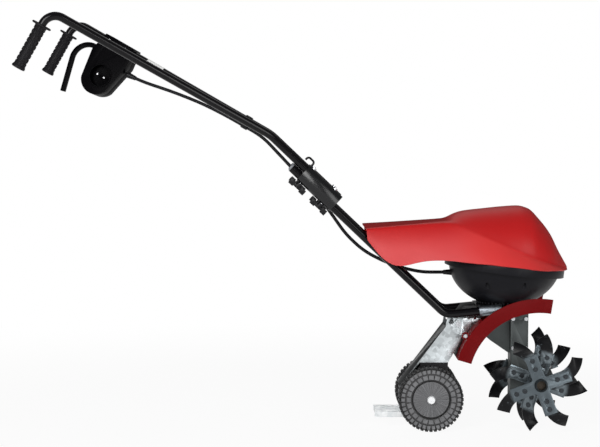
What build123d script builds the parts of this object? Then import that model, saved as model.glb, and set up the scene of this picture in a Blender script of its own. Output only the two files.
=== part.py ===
from build123d import *
import os
from math import atan2, cos, degrees, pi, radians, sin, sqrt, tan

os.makedirs("parts", exist_ok=True)

# Electric tiller, millimetres. X points forward, Y to the left, Z up, ground at Z = 0.
# Fits
SEAT = 0.05  # radial room of a piece clamped on another
RUN = 0.06  # radial room of a shaft in its bush
AIR = 0.5  # room between faces that pass each other
GAP = 2.0  # room round a housing that another piece is cut back for

# Tine rotor
TINE_R = 116.0  # tip circle
BLADE_W = 28.0
BLADE_T = 4.0
BLADE_START = 24.0  # inner end of a blade from the axle
SWEEP_R = 60.0  # radius of a blade's backward curve
SWEEP_ANGLE = 60.0
BEND_START = 78.0  # where the sideways bend begins
BEND_R = 45.0
BEND_ANGLE = 80.0
OUTER_CLOCK = 20.0  # arm directions, degrees up from forward
INNER_CLOCK = 69.0
ARM_REACH = 72.0
ARM_W = 30.0
PLATE_T = 4.0
HUB_R = 15.0
HUB_PLATE_R = 24.0  # round middle of a cross plate
AXLE_R = 11.0
AXLE_RECESS = 12.0  # axle end behind the hub's end
INNER_PLATE_Y = 48.0  # outer face of the inner cross plate
OUTER_PLATE_Y = 106.0  # inner face of the outer cross plate
HUB_LIP = 6.0  # hub beyond the outer cross plate
HUB_SPLIT_Y = 75.0  # where the two hubs of a side meet
RIVET_R = 3.5
RIVET_HEAD_R = 5.5
RIVET_HEAD_T = 2.0
RIVET_PLACES = (40.0, 60.0)  # along each arm
PIN_R = 3.0
PIN_OVER = 2.0  # pin beyond the hub on each side
PIN_IN = 12.0  # pins from where the hubs meet

# Worm drive
TEETH = 24
MODULE = 2.5
WORM_PITCH_R = 10.0
TOOTH_T = 2.9  # at the pitch line, thin for backlash
FLANK = 20.0
ADDENDUM = 0.9  # in modules
DEDENDUM = 1.2
WHEEL_FACE = 14.0
WORM_TURNS = 5
SHAFT_R = 6.0
BEARING_R = 13.0
BEARING_T = 11.0

# Gearbox
GEARBOX_R = 42.0
GEARBOX_HALF = 24.0
COLUMN_HALF = 21.0
BOSS_R = 20.0
BOSS_OVER = 6.0
RIB_HALF = 5.0
FLANGE_LONG = 56.0
FLANGE_HALF = 36.0
FLANGE_T = 10.0
SCREW_R = 2.5
SCREW_HEAD_R = 4.5
SCREW_HEAD_T = 4.0
SCREW_EAR_R = 7.0
EAR_ANGLES = (-108.0, -55.0, -5.0, 45.0)  # screw ears round the axle, degrees up from forward
EAR_OUT = 2.0  # ear screws outside the gearbox circle
COLUMN_SCREW_RISE = 40.0  # lower column screws above the upper worm bearing
COLUMN_SCREW_DROP = 32.0  # upper column screws below the mount plate
COLUMN_SCREW_IN = 5.5  # column screws in from the column's sides
RIB_START = 45.0  # rear rib's lower end above the axle
RIB_EDGE = ((-68.0, 92.0), (-86.0, 108.0), (-74.0, 144.0))  # its rear edge from the worm axis and the axle
RIB_TOP_BACK = 54.0
GEAR_ROOM = 3.0  # round the worm wheel's tips
MOTOR_BOLT_X = 8.0  # motor bolts from the worm axis
MOTOR_BOLT_Y = 22.0

# Motor and its bowl
MOUNT_T = 4.0
MOUNT_HALF = 49.0
MOUNT_BACK = 146.0  # rear edge of the mount plate behind the tine axle
MOUNT_CORNER_R = 10.0
MOUNT_EDGE = 2.0  # plate ahead of the gearbox flange
HANGER_BOLT_BACK = 132.0
HANGER_BOLT_Y = 22.0
SOCKET_LUG_BACK = 119.0
BOWL_SETBACK = 73.0  # bowl axis behind the tine axle
BOWL_R = 132.0
BOWL_DEPTH = 105.0
BOWL_WALL = 4.0
BOWL_FLOOR_T = 5.0
RIM_OVER = 9.0
RIM_T = 19.0
SEAM_RISE = 100.5  # hood seam over the mount plate, at the bowl axis
SEAM_TILT = 6.5
SEAM_GAP = 0.4
MOTOR_R = 45.0
STATOR_BORE = 27.5
STATOR_RISE = 44.0  # stator over the mount plate
STATOR_H = 65.0
END_T = 6.0
END_BOSS_R = 14.0
END_BOSS_H = 14.0
END_VENTS = 6
END_VENT_R = 7.6
END_VENT_AT = 28.0
SEAT_RING_OUT = 1.0  # motor seat in the bowl, outside and inside the motor's radius
SEAT_RING_IN = 5.0
FAN_R = 54.0
FAN_H = 18.0
FAN_BLADES = 9
FAN_BLADE_AT = 33.5
FAN_BLADE_LONG = 38.0
FAN_BLADE_TURN = 25.0

# Hood: stations behind or ahead of the bowl axis with crown height over the seam, shoulder half width
# and height, and half width at the foot
HOOD_WALL = 3.0
SKIRT = 40.0  # the sections start this far below the seam, where the skirt is cut to its edge
SKIRT_FLARE = 9.0
DECK_STATIONS = (
    (-346.0, 102.0, 78.0, 99.0, 86.0),
    (-230.0, 103.5, 76.0, 101.0, 104.0),
)
DECK_END_CROWN = 104.5  # where the deck meets the dome
DOME_STATIONS = (
    (-142.0, 106.0, 73.0, 102.0, 120.0),
    (-118.0, 112.5, 79.0, 97.0, 124.0),
    (-92.0, 120.5, 87.0, 88.5, 129.0),
    (-56.0, 127.5, 97.0, 77.0, 136.0),
    (-13.0, 132.0, 104.0, 61.5, 142.0),
    (27.0, 134.5, 101.0, 46.0, 139.0),
    (53.0, 127.5, 94.0, 37.5, 133.0),
    (80.0, 101.0, 81.0, 29.0, 119.0),
    (105.0, 68.5, 63.0, 19.5, 95.0),
    (125.0, 28.5, 42.0, 7.0, 67.0),
    (138.0, 6.0, 24.0, -4.0, 39.0),
    (146.0, -8.5, 10.0, -12.5, 16.0),
)
DOME_RIM_R = 141.0  # bowl rim that the dome's stations are drawn for, the dome follows the rim
FLARE_SAG = 7.0  # hollow of the flared sides
HOOD_BOSS_R = 6.0
HOOD_BOSS_H = 44.0
HOOD_SCREW_ANGLES = (75.0, 116.0)  # round the bowl axis, degrees to each side of forward
HOOD_SCREW_IN = 14.0  # hood screws in from the bowl's radius
HOOD_SCREW_UP = 14.0  # hood screws above the seam
SCREW_WELL_R = 5.0  # wells in the bowl that lead to the hood screws
SCREW_LAND = 14.0  # under the seam, what a hood screw clamps
HEM_TURN = 50.0  # behind the bowl axis, where the hood's edge leaves the seam
REAR_LIFT_X = 251.0  # behind the bowl axis, lowest corner of the rear skirt
REAR_LIFT_DROP = 27.5  # that corner below the seam line
REAR_HEEL_RUN = 50.0  # from that corner back to the rear edge
REAR_HEEL_RISE = 27.0
REAR_LEAN = 28.2  # rear edge, degrees from upright

# Fender, concentric with the tines
FENDER_R = 198.0
FENDER_RIM = 33.0
FENDER_T = 3.0
FENDER_HALF = 80.0
FENDER_FRONT = 81.0  # degrees up from forward
FENDER_REAR = 164.0
FENDER_OPEN_X = 133.0  # top open ahead of this, measured back from the tine axle
LUG_X = 72.0  # fender lugs behind the tine axle
LUG_W = 20.0
FENDER_OVER = 21.4  # fender's crown above the mount plate's underside
ROD_LUG = 2.0  # fender round the stop rod's head
ROD_ROOM = 4.0  # hollow behind that lug

# Wheel stand
WHEELBASE = 252.0
WHEEL_R = 76.0
WHEEL_W = 36.0
WHEEL_GAP = 98.0  # between the wheels
WHEEL_AXLE_R = 5.0
WHEEL_HUB_R = 12.0
WHEEL_RIM_R = 42.0
WHEEL_DISH = 5.0
WHEEL_RIM_FALL = 2.0  # side wall falls in towards the disc
TREAD_EDGE = 8.0  # tread's sloped edge, inward and sideways
TREAD_FALL = 6.0
WHEEL_CAP_R = 10.0
WHEEL_CAP_T = 5.0
WHEEL_CAP_TAPER = 20.0
PIVOT_ANGLE = 143.9  # stand pivot about the tine axle, degrees up from forward
PIVOT_OUT = 32.2  # stand pivot outside the fender
PIVOT_R = 4.0
PIVOT_HEAD_R = 7.0
PIVOT_HEAD_T = 4.5
ROD_ANGLE = 147.2  # stop rod about the tine axle, degrees up from forward
ROD_OUT = 7.9  # stop rod outside the fender
ROD_R = 4.0
ROD_HEAD_R = 6.5
ROD_HEAD_T = 5.0
ROD_HEAD_TAPER = 25.0
STAND_HALF = 44.5
SHEET_T = 3.0
EAR_HALF = 37.5
ACCESS_R = 3.3  # two accessory holes in each ear
ACCESS_GAP = 14.0
ACCESS_BACK = 161.0
ACCESS_DROP = 29.0  # accessory holes below the mount plate
ACCESS_EDGE = 7.0  # ear round an accessory hole
HANGER_FRONT = 108.0  # ears' front corner behind the tine axle
EAR_PIVOT_EDGE = 11.0  # ear round the pivot
EAR_ROD_EDGE = 8.0  # ear round the stop rod
EAR_TOP_AHEAD = 14.0  # ear's upper rear corner ahead of the pivot
WEB_BACK = 30.0  # top of the bracket's rear web behind the pivot and below it
WEB_DROP = 7.0
WEB_FOOT_BACK = 71.7  # lower end of that web behind the wheel axle and above it
WEB_FOOT_RISE = 25.3
PLATE_TOP = ((-26.0, 15.0), (-18.0, 15.0), (-23.0, 2.6), (-18.0, -2.6), (-9.7, 2.6), (-1.0, 15.0),
             (10.0, 15.0), (12.0, -6.0))  # notched top of the side plates, from the pivot
ROD_STOP_HALF = 6.0  # edge of the side plates that meets the stop rod
SHIN_AHEAD = 2.0  # where the side plates' front edge turns, from the pivot
SHIN_DROP = 47.0
CARRIER_TOP = 158.0
CARRIER_FRONT = 42.0  # ahead of the wheel axle, at the top
CARRIER_WAIST = (40.0, 28.0)  # front corner ahead of the axle and below the top
CARRIER_FOOT = (22.0, -18.0)  # front and rear of the foot from the axle
CARRIER_BACK = (-24.0, 20.0)  # rear corner from the axle and above it
CARRIER_WEB_ROOM = 4.0
STAND_BOLT_X = 8.0  # bracket bolts from the wheel axle
STAND_BOLT_Y = 20.0
PEDAL_BOLT_X = 2.0
PEDAL_BOLT_Y = 24.0
STAND_BOLT_LONG = 18.0
PEDAL_Z = 42.0
PEDAL_HALF = 46.0
PEDAL_T = 3.0
PEDAL_LIP = 13.0
PEDAL_BACK = 130.0  # pedal's rear edge behind the wheel axle
PEDAL_FRONT = 22.0
PEDAL_RIBS = 7
PEDAL_RIB_PITCH = 12.0
PEDAL_RIB_W = 4.0
PEDAL_RIB_H = 1.2
PEDAL_RIB_LONG = 100.0
BOLT_R = 3.0
BOLT_HEAD_R = 5.5
BOLT_HEAD_T = 4.0

# Handle
TUBE_R = 9.5
TUBE_WALL = 1.6
TUBE_Y = 62.0  # lower tubes from the middle
CORNER_BACK = 218.0  # bend of the lower tubes behind the tine axle
CORNER_DROP = 17.0  # that bend below the mount plate
LOWER_SLOPE = 43.6
SOCKET_SLOPE = 5.5
LOWER_BEND_R = 34.0
LOWER_RUN = 496.0
SOCKET_RUN = 128.0
SOCKET_R = 11.5
SOCKET_LONG = 53.0
SOCKET_PAST = 4.0  # socket beyond the tube's end
LUG_T = 4.0
STACK = 21.0  # upper tube over lower tube
CLAMP_SHOWS = 27.0  # lower tube beyond the clamp
CLAMP_LONG = 105.0
CLAMP_WALL = 2.5
UPPER_AHEAD = 89.0  # upper tube's bend beyond the lower tube's end
UPPER_BEND_R = 70.0
HANDLE_SLOPE = 29.7
HANDLE_RUN = 559.0
GRIP_Y = 215.0
GRIP_BEND_R = 32.0
GRIP_DROP = 142.0
GRIP_R = 13.5
GRIP_FROM = 35.0
GRIP_END_T = 4.0
FLANGE_R = 23.0
KNOB_INSETS = (25.0, 12.0)  # knobs in from the clamp's ends
KNOB_HUB_R = 7.5
KNOB_H = 14.0
KNOB_LONG = 46.0
KNOB_BAR = 11.0
KNOB_BLIND = 3.0  # clamp bolt ends this far inside the knob
CAP_T = 5.0
CAP_TAPER = 30.0
HOOK_R = 2.5
HOOK_IN = 2.8  # hook's foot in from the clamp's end
HOOK_H = 13.0
HOOK_OUT = 17.0
HOOK_TIP = 3.0
HOOK_BEND_R = 6.0

# Switch housing on the left handle
CASE_HALF = 26.0
CASE_WALL = 3.0
CASE_TOP = 13.0
CASE_FROM = 85.0
CASE_TO = 184.0
CASE_DROP = 134.0
CASE_SHOULDER = 36.0  # widest line below the tube
CASE_NOSE = 12.0  # front and rear top corners drawn in
CASE_TAIL = 5.0
CASE_FLARE = 2.0
CASE_CHIN = (18.0, 22.0)  # rear lower corner, in and up
CASE_HEEL = (8.0, 26.0)  # front lower corner, in and up
CASE_KEEL = 6.0  # lowest point ahead of the middle
INLET_U = 136.0
INLET_V = -84.0
INLET_R = 26.0
INLET_COLLAR = 3.0  # rim of the inlet beyond the cover
INLET_DEPTH = 19.0
INLET_WALL = 2.5
INLET_PIN_R = 2.4
INLET_PIN_GAP = 19.0
INLET_PIN_LONG = 16.0
SWITCH_SCREWS = (112.0, 158.0)
TRIGGER_U = 98.0
TRIGGER_V = -27.0
TRIGGER_PIN_R = 4.0
TRIGGER_HUB_R = 8.0
TRIGGER_W = 12.0
TRIGGER_T = 10.0
TRIGGER_ELBOW = (-72.0, -6.0)  # from the pivot
TRIGGER_END = (-38.0, -138.0)
TRIGGER_BEND_R = 42.0
TRIGGER_SLOT = 34.0
TRIGGER_SLOT_PAST = 12.0
SWITCH_LONG = 34.0
SWITCH_H = 40.0
SWITCH_CORNER_R = 3.0
SWITCH_BACK = 42.0  # switch ahead of the housing's rear end
SWITCH_DROP = 36.0  # switch below the trigger pivot

# Motor cable
CORD_R = 4.0
CLIP_U = 512.0
CLIP_W = 16.0
CLIP_DROP = 15.0  # cable under the tube in the clip
CLIP_WALL = 2.5
GLAND_R = 7.5
GLAND_LONG = 22.0
GLAND_TAPER = 6.0
GLAND_DROP = 39.0  # cable entry below the seam
GLAND_IN = 8.0  # gland inside the bowl's radius
GLAND_SHOWS = 6.0  # upper gland beyond the housing
BEND_SHARE = 0.45  # share of a run that a cable bend may take

SIDES = (("right", -1.0), ("left", 1.0))

# Derived places
TIP_RISE = SWEEP_R - (SWEEP_R + BLADE_W / 2) * cos(radians(SWEEP_ANGLE))
TIP_REACH = sqrt(TINE_R**2 - TIP_RISE**2)
BLADE_STRAIGHT = TIP_REACH - (SWEEP_R + BLADE_W / 2) * sin(radians(SWEEP_ANGLE))
TIP_LEAD = degrees(atan2(TIP_RISE, TIP_REACH))
# the lowest corner of the inner tines just meets the ground
TINE_Z = TINE_R * cos(radians(90.0 - INNER_CLOCK - TIP_LEAD))
# the machine over the tines is carried by the mount plate, whose height follows the fender
MOUNT_Z = TINE_Z + FENDER_R - FENDER_OVER
MOUNT_TOP = MOUNT_Z + MOUNT_T
SEAM_Z = MOUNT_Z + SEAM_RISE
STATOR_Z = MOUNT_Z + STATOR_RISE
ACCESS_Z = MOUNT_Z - ACCESS_DROP
# places along the lower tubes
CLAMP_TO = LOWER_RUN - CLAMP_SHOWS
CLAMP_FROM = CLAMP_TO - CLAMP_LONG
KNOB_PLACES = (CLAMP_FROM + KNOB_INSETS[0], CLAMP_TO - KNOB_INSETS[1])
UPPER_BEND = LOWER_RUN + UPPER_AHEAD
# the origin is under the middle of the whole length, from the tine tips to the end of the grips
REAR_REACH = (
    CORNER_BACK
    + UPPER_BEND * cos(radians(LOWER_SLOPE))
    - STACK * sin(radians(LOWER_SLOPE))
    + (HANDLE_RUN + GRIP_R) * cos(radians(HANDLE_SLOPE))
    + (GRIP_DROP + GRIP_END_T) * sin(radians(HANDLE_SLOPE))
)
TINE_X = (REAR_REACH - TINE_Z) / 2
WHEEL_PITCH_R = TEETH * MODULE / 2
WORM_X = TINE_X - WHEEL_PITCH_R - WORM_PITCH_R
LEAD = pi * MODULE
LEAD_ANGLE = degrees(atan2(LEAD, 2 * pi * WORM_PITCH_R))
BOWL_X = TINE_X - BOWL_SETBACK
WHEEL_X = TINE_X - WHEELBASE
HUB_END_Y = OUTER_PLATE_Y + PLATE_T + HUB_LIP
INNER_HUB_Y = GEARBOX_HALF + BOSS_OVER + 2 * AIR
RUN_DIR = Vector(-cos(radians(LOWER_SLOPE)), 0, sin(radians(LOWER_SLOPE)))
STACK_DIR = Vector(sin(radians(LOWER_SLOPE)), 0, cos(radians(LOWER_SLOPE)))
SOCKET_DIR = Vector(cos(radians(SOCKET_SLOPE)), 0, sin(radians(SOCKET_SLOPE)))
CORNER = Vector(TINE_X - CORNER_BACK, 0, MOUNT_Z - CORNER_DROP)


def side_plane(y):
    """XZ drawing plane at y whose drawing axes are X and Z and whose extrusions go to -Y."""
    return Plane(origin=(0, y, 0), x_dir=(1, 0, 0), z_dir=(0, -1, 0))


def about_axle(angle, radius):
    """Place in the XZ plane at an angle up from forward and a radius about the tine axle."""
    return (TINE_X + radius * cos(radians(angle)), TINE_Z + radius * sin(radians(angle)))


def lower_point(along, over, y):
    """Point beside the lower tubes: along the slope from the bend, over it, at y."""
    return CORNER + RUN_DIR * along + STACK_DIR * over + Vector(0, y, 0)


def keep(builder, name):
    """Label a finished piece and write it."""
    builder.part.label = name
    export_step(builder.part, f"parts/{name}.step")


def seam_height(x):
    """Height of the hood seam at x."""
    return SEAM_Z - (x - BOWL_X) * tan(radians(SEAM_TILT))


def rod_along_y(centre, radius, low, high):
    """Round bar along Y between low and high."""
    with BuildPart() as bar:
        with BuildSketch(side_plane(high)):
            with Locations(centre):
                Circle(radius)
        extrude(amount=high - low)
    return bar.part


PIVOT = about_axle(PIVOT_ANGLE, FENDER_R + PIVOT_OUT)
ROD = about_axle(ROD_ANGLE, FENDER_R + ROD_OUT)
PIN_YS = (HUB_SPLIT_Y - PIN_IN, HUB_SPLIT_Y + PIN_IN)

# Tine blades
with BuildPart() as blade:
    with BuildSketch(side_plane(0)):
        with BuildLine():
            half = BLADE_W / 2
            tip = SWEEP_ANGLE - 90
            Polyline((BLADE_STRAIGHT, half), (BLADE_START, half), (BLADE_START, -half),
                     (BLADE_STRAIGHT, -half))
            back = CenterArc((BLADE_STRAIGHT, SWEEP_R), SWEEP_R + half, -90, SWEEP_ANGLE)
            front = CenterArc((BLADE_STRAIGHT, SWEEP_R), SWEEP_R - half, tip, -SWEEP_ANGLE)
            Line(back @ 1, front @ 0)
        make_face()
        with Locations(*[(place, 0) for place in RIVET_PLACES]):
            Circle(RIVET_R + SEAT, mode=Mode.SUBTRACT)
    extrude(amount=TINE_R, both=True)
    with BuildSketch(Plane.XY.offset(-TINE_R)):
        with BuildLine():
            Line((0, 0), (BEND_START, 0))
            CenterArc((BEND_START, BEND_R), BEND_R, -90, BEND_ANGLE)
        trace(line_width=BLADE_T)
    extrude(amount=2 * TINE_R, mode=Mode.INTERSECT)
blade_to_left = blade.part.moved(Location((0, BLADE_T / 2, 0)))
blade_to_right = mirror(blade_to_left, about=Plane.XZ)

for side, sign in SIDES:
    inward, outward = (blade_to_left, blade_to_right) if sign < 0 else (blade_to_right, blade_to_left)
    with BuildPart() as blades:
        for turn in range(4):
            outer_place = Location((TINE_X, sign * OUTER_PLATE_Y, TINE_Z), (0, -OUTER_CLOCK - 90 * turn, 0))
            inner_place = Location((TINE_X, sign * INNER_PLATE_Y, TINE_Z), (0, -INNER_CLOCK - 90 * turn, 0))
            add(inward.moved(outer_place))
            add(outward.moved(inner_place))
    keep(blades, f"tine_blades_{side}")

    with BuildPart() as hubs:
        for clock, start, end, face in (
            (INNER_CLOCK, INNER_HUB_Y, HUB_SPLIT_Y - AIR / 2, INNER_PLATE_Y),
            (OUTER_CLOCK, HUB_SPLIT_Y + AIR / 2, HUB_END_Y, OUTER_PLATE_Y + PLATE_T),
        ):
            with BuildSketch(side_plane(sign * face)):
                with Locations((TINE_X, TINE_Z)):
                    Circle(HUB_PLATE_R)
                    with PolarLocations(ARM_REACH / 2, 4, start_angle=clock):
                        Rectangle(ARM_REACH, ARM_W)
                    for place in RIVET_PLACES:
                        with PolarLocations(place, 4, start_angle=clock):
                            Circle(RIVET_R + SEAT, mode=Mode.SUBTRACT)
            extrude(amount=sign * PLATE_T)
            with BuildSketch(side_plane(sign * end)):
                with Locations((TINE_X, TINE_Z)):
                    Circle(HUB_R)
            extrude(amount=sign * (end - start))
        add(rod_along_y((TINE_X, TINE_Z), AXLE_R + SEAT, -HUB_END_Y, HUB_END_Y), mode=Mode.SUBTRACT)
        with Locations(*[(TINE_X, sign * y, TINE_Z) for y in PIN_YS]):
            Cylinder(PIN_R + SEAT, 2 * TINE_R, mode=Mode.SUBTRACT)
    keep(hubs, f"tine_hubs_{side}")

with BuildPart() as rivets:
    for side, sign in SIDES:
        for clock, low, high in (
            (INNER_CLOCK, INNER_PLATE_Y - PLATE_T, INNER_PLATE_Y + BLADE_T),
            (OUTER_CLOCK, OUTER_PLATE_Y - BLADE_T, OUTER_PLATE_Y + PLATE_T),
        ):
            for radius, reach in ((RIVET_R, 0.0), (RIVET_HEAD_R, RIVET_HEAD_T)):
                spans = ((low, high),) if reach == 0 else ((low - reach, low), (high, high + reach))
                for start, end in spans:
                    with BuildSketch(side_plane(sign * end)):
                        with Locations((TINE_X, TINE_Z)):
                            for place in RIVET_PLACES:
                                with PolarLocations(place, 4, start_angle=clock):
                                    Circle(radius)
                    extrude(amount=sign * (end - start))
keep(rivets, "tine_rivets")

with BuildPart() as pins:
    with Locations(*[(TINE_X, sign * y, TINE_Z) for side, sign in SIDES for y in PIN_YS]):
        Cylinder(PIN_R, 2 * (HUB_R + PIN_OVER))
keep(pins, "hub_pins")

axle_end = HUB_END_Y - AXLE_RECESS
with BuildPart() as tine_axle:
    add(rod_along_y((TINE_X, TINE_Z), AXLE_R, -axle_end, axle_end))
    with Locations(*[(TINE_X, sign * y, TINE_Z) for side, sign in SIDES for y in PIN_YS]):
        Cylinder(PIN_R + SEAT, 2 * TINE_R, mode=Mode.SUBTRACT)
keep(tine_axle, "tine_axle")

# Worm wheel: tapered teeth laid over by the worm's lead angle
root_r = WHEEL_PITCH_R - DEDENDUM * MODULE
tip_r = WHEEL_PITCH_R + ADDENDUM * MODULE
tooth_foot = TOOTH_T + 2 * (WHEEL_PITCH_R - root_r) * tan(radians(FLANK))
tooth_planes = []
for tooth in range(TEETH):
    angle = 2 * pi * tooth / TEETH
    radial = Vector(cos(angle), 0, sin(angle))
    rolling = Vector(0, 1, 0).cross(radial)
    along = Vector(0, 1, 0) * cos(radians(LEAD_ANGLE)) + rolling * sin(radians(LEAD_ANGLE))
    foot = Vector(TINE_X, 0, TINE_Z) + radial * (root_r - AIR)
    tooth_planes.append(Plane(origin=foot, x_dir=along, z_dir=radial))
with BuildPart() as worm_wheel:
    add(rod_along_y((TINE_X, TINE_Z), root_r, -WHEEL_FACE / 2, WHEEL_FACE / 2))
    with BuildSketch(*tooth_planes):
        Rectangle(WHEEL_FACE, tooth_foot + 2 * AIR * tan(radians(FLANK)))
    extrude(amount=tip_r - root_r + AIR, taper=FLANK)
    add(rod_along_y((TINE_X, TINE_Z), AXLE_R + SEAT, -WHEEL_FACE, WHEEL_FACE), mode=Mode.SUBTRACT)
keep(worm_wheel, "worm_wheel")

# Worm shaft: the worm is cut on the motor shaft
core_r = WORM_PITCH_R - DEDENDUM * MODULE
crest_r = WORM_PITCH_R + ADDENDUM * MODULE
worm_low = TINE_Z - WORM_TURNS * LEAD / 2
worm_half = WORM_TURNS * LEAD / 2 + LEAD / 2
bearing_low = TINE_Z - worm_half - AIR
bearing_high = TINE_Z + worm_half + AIR
shaft_top = STATOR_Z + STATOR_H + END_T + END_BOSS_H + FAN_H
with BuildPart() as worm_shaft:
    with BuildLine() as thread_path:
        Helix(LEAD, WORM_TURNS * LEAD, core_r, center=(WORM_X, 0, worm_low))
    crest_half = (TOOTH_T - 2 * (crest_r - WORM_PITCH_R) * tan(radians(FLANK))) / 2
    root_half = (TOOTH_T + 2 * (WORM_PITCH_R - core_r + AIR) * tan(radians(FLANK))) / 2
    with BuildSketch(Plane(thread_path.line @ 0, x_dir=(1, 0, 0), z_dir=thread_path.line % 0)):
        with BuildLine():
            Polyline((-AIR, -root_half), (crest_r - core_r, -crest_half), (crest_r - core_r, crest_half),
                     (-AIR, root_half), close=True)
        make_face()
    sweep(path=thread_path.line, is_frenet=True)
    with Locations((WORM_X, 0, TINE_Z)):
        Cylinder(core_r, 2 * worm_half)
    with BuildSketch(Plane((WORM_X, 0, bearing_low - BEARING_T + AIR))):
        Circle(SHAFT_R)
    extrude(amount=shaft_top - bearing_low + BEARING_T - AIR)
keep(worm_shaft, "worm_shaft")

with BuildPart() as worm_bearings:
    with BuildSketch(Plane((WORM_X, 0, bearing_low - BEARING_T)), Plane((WORM_X, 0, bearing_high))):
        Circle(BEARING_R)
        Circle(SHAFT_R + RUN, mode=Mode.SUBTRACT)
    extrude(amount=BEARING_T)
keep(worm_bearings, "worm_bearings")

# Gearbox: two castings that meet in the middle plane
column_low = bearing_low - BEARING_T - GEARBOX_HALF / 3
column_screw_x = COLUMN_HALF - COLUMN_SCREW_IN
column_screw_z = (bearing_high + BEARING_T + COLUMN_SCREW_RISE, MOUNT_Z - COLUMN_SCREW_DROP)
column_screws = [(WORM_X + across, z) for across in (-column_screw_x, column_screw_x) for z in column_screw_z]
ear_screws = [about_axle(angle, GEARBOX_R + EAR_OUT) for angle in EAR_ANGLES]
gearbox_screw_places = ear_screws + column_screws
motor_bolt_places = [(WORM_X + x, sign * MOTOR_BOLT_Y) for x in (-MOTOR_BOLT_X, MOTOR_BOLT_X)
                     for side, sign in SIDES]
wheel_cavity_r = tip_r + GEAR_ROOM
worm_cavity_r = crest_r + GAP
rib_edge = [(WORM_X + back, TINE_Z + rise) for back, rise in RIB_EDGE]
for side, sign in SIDES:
    with BuildPart() as gearbox:
        with BuildSketch(side_plane(sign * GEARBOX_HALF)):
            with Locations((TINE_X, TINE_Z)):
                Circle(GEARBOX_R)
            with Locations(*ear_screws):
                Circle(SCREW_EAR_R)
            with Locations((WORM_X, (column_low + MOUNT_Z) / 2)):
                Rectangle(2 * COLUMN_HALF, MOUNT_Z - column_low)
        extrude(amount=sign * GEARBOX_HALF)
        with BuildSketch(side_plane(sign * RIB_HALF)):
            with BuildLine():
                Polyline((WORM_X, TINE_Z + RIB_START), *rib_edge, (WORM_X - RIB_TOP_BACK, MOUNT_Z - FLANGE_T),
                         (WORM_X, MOUNT_Z - FLANGE_T), close=True)
            make_face()
        extrude(amount=sign * RIB_HALF)
        with BuildSketch(Plane((WORM_X, sign * FLANGE_HALF / 2, MOUNT_Z - FLANGE_T))):
            Rectangle(FLANGE_LONG, FLANGE_HALF)
        extrude(amount=FLANGE_T)
        with BuildSketch(side_plane(sign * (GEARBOX_HALF + BOSS_OVER))):
            with Locations((TINE_X, TINE_Z)):
                Circle(BOSS_R)
        extrude(amount=sign * BOSS_OVER)
        wheel_room = WHEEL_FACE / 2 + GAP
        add(rod_along_y((TINE_X, TINE_Z), wheel_cavity_r, -wheel_room, wheel_room), mode=Mode.SUBTRACT)
        add(rod_along_y((TINE_X, TINE_Z), BEARING_R, -TINE_R, TINE_R), mode=Mode.SUBTRACT)
        with Locations((WORM_X, 0, TINE_Z)):
            Cylinder(worm_cavity_r, 2 * worm_half + 2 * AIR, mode=Mode.SUBTRACT)
        with BuildSketch(Plane((WORM_X, 0, bearing_low - BEARING_T))):
            Circle(BEARING_R + SEAT)
        extrude(amount=bearing_high - bearing_low + 2 * BEARING_T, mode=Mode.SUBTRACT)
        with BuildSketch(Plane((WORM_X, 0, bearing_high))):
            Circle(SHAFT_R + GAP)
        extrude(amount=MOUNT_Z - bearing_high, mode=Mode.SUBTRACT)
        with BuildSketch(side_plane(GEARBOX_HALF)):
            with Locations(*gearbox_screw_places):
                Circle(SCREW_R + SEAT)
        extrude(amount=2 * GEARBOX_HALF, mode=Mode.SUBTRACT)
        with BuildSketch(Plane.XY.offset(MOUNT_Z)):
            with Locations(*motor_bolt_places):
                Circle(BOLT_R + SEAT)
        extrude(amount=-FLANGE_T, mode=Mode.SUBTRACT)
    keep(gearbox, f"gearbox_{side}_half")

with BuildPart() as gearbox_screws:
    for places, radius, start, length in (
        (gearbox_screw_places, SCREW_R, -GEARBOX_HALF, 2 * GEARBOX_HALF - GAP),
        (gearbox_screw_places, SCREW_HEAD_R, -GEARBOX_HALF - SCREW_HEAD_T, SCREW_HEAD_T),
    ):
        with BuildSketch(side_plane(start)):
            with Locations(*places):
                Circle(radius)
        extrude(amount=-length)
keep(gearbox_screws, "gearbox_screws")

with BuildPart() as axle_bushes:
    for side, sign in SIDES:
        with BuildSketch(side_plane(sign * (GEARBOX_HALF + BOSS_OVER))):
            with Locations((TINE_X, TINE_Z)):
                Circle(BEARING_R - SEAT)
                Circle(AXLE_R + RUN, mode=Mode.SUBTRACT)
        extrude(amount=sign * (GEARBOX_HALF + BOSS_OVER - WHEEL_FACE / 2 - AIR))
keep(axle_bushes, "axle_bushes")

# Mount plate under the motor, carrying the gearbox, handle sockets, stand hanger and fender
hanger_bolts = [(TINE_X - HANGER_BOLT_BACK, sign * HANGER_BOLT_Y) for side, sign in SIDES]
lug_bolt_y = MOUNT_HALF - BOLT_HEAD_R
socket_bolts = [(TINE_X - SOCKET_LUG_BACK, sign * lug_bolt_y) for side, sign in SIDES]
fender_lug_bolts = [(TINE_X - LUG_X, sign * lug_bolt_y) for side, sign in SIDES]
plate_bolt_places = hanger_bolts + socket_bolts + fender_lug_bolts
plate_rear = TINE_X - MOUNT_BACK
plate_front = WORM_X + FLANGE_LONG / 2 + MOUNT_EDGE
with BuildPart() as mount_plate:
    with BuildSketch(Plane.XY.offset(MOUNT_Z)):
        with Locations(((plate_rear + plate_front) / 2, 0)):
            RectangleRounded(plate_front - plate_rear, 2 * MOUNT_HALF, MOUNT_CORNER_R)
        with Locations((WORM_X, 0)):
            Circle(SHAFT_R + GAP, mode=Mode.SUBTRACT)
        with Locations(*motor_bolt_places, *plate_bolt_places):
            Circle(BOLT_R + SEAT, mode=Mode.SUBTRACT)
    extrude(amount=MOUNT_T)
keep(mount_plate, "mount_plate")

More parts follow.
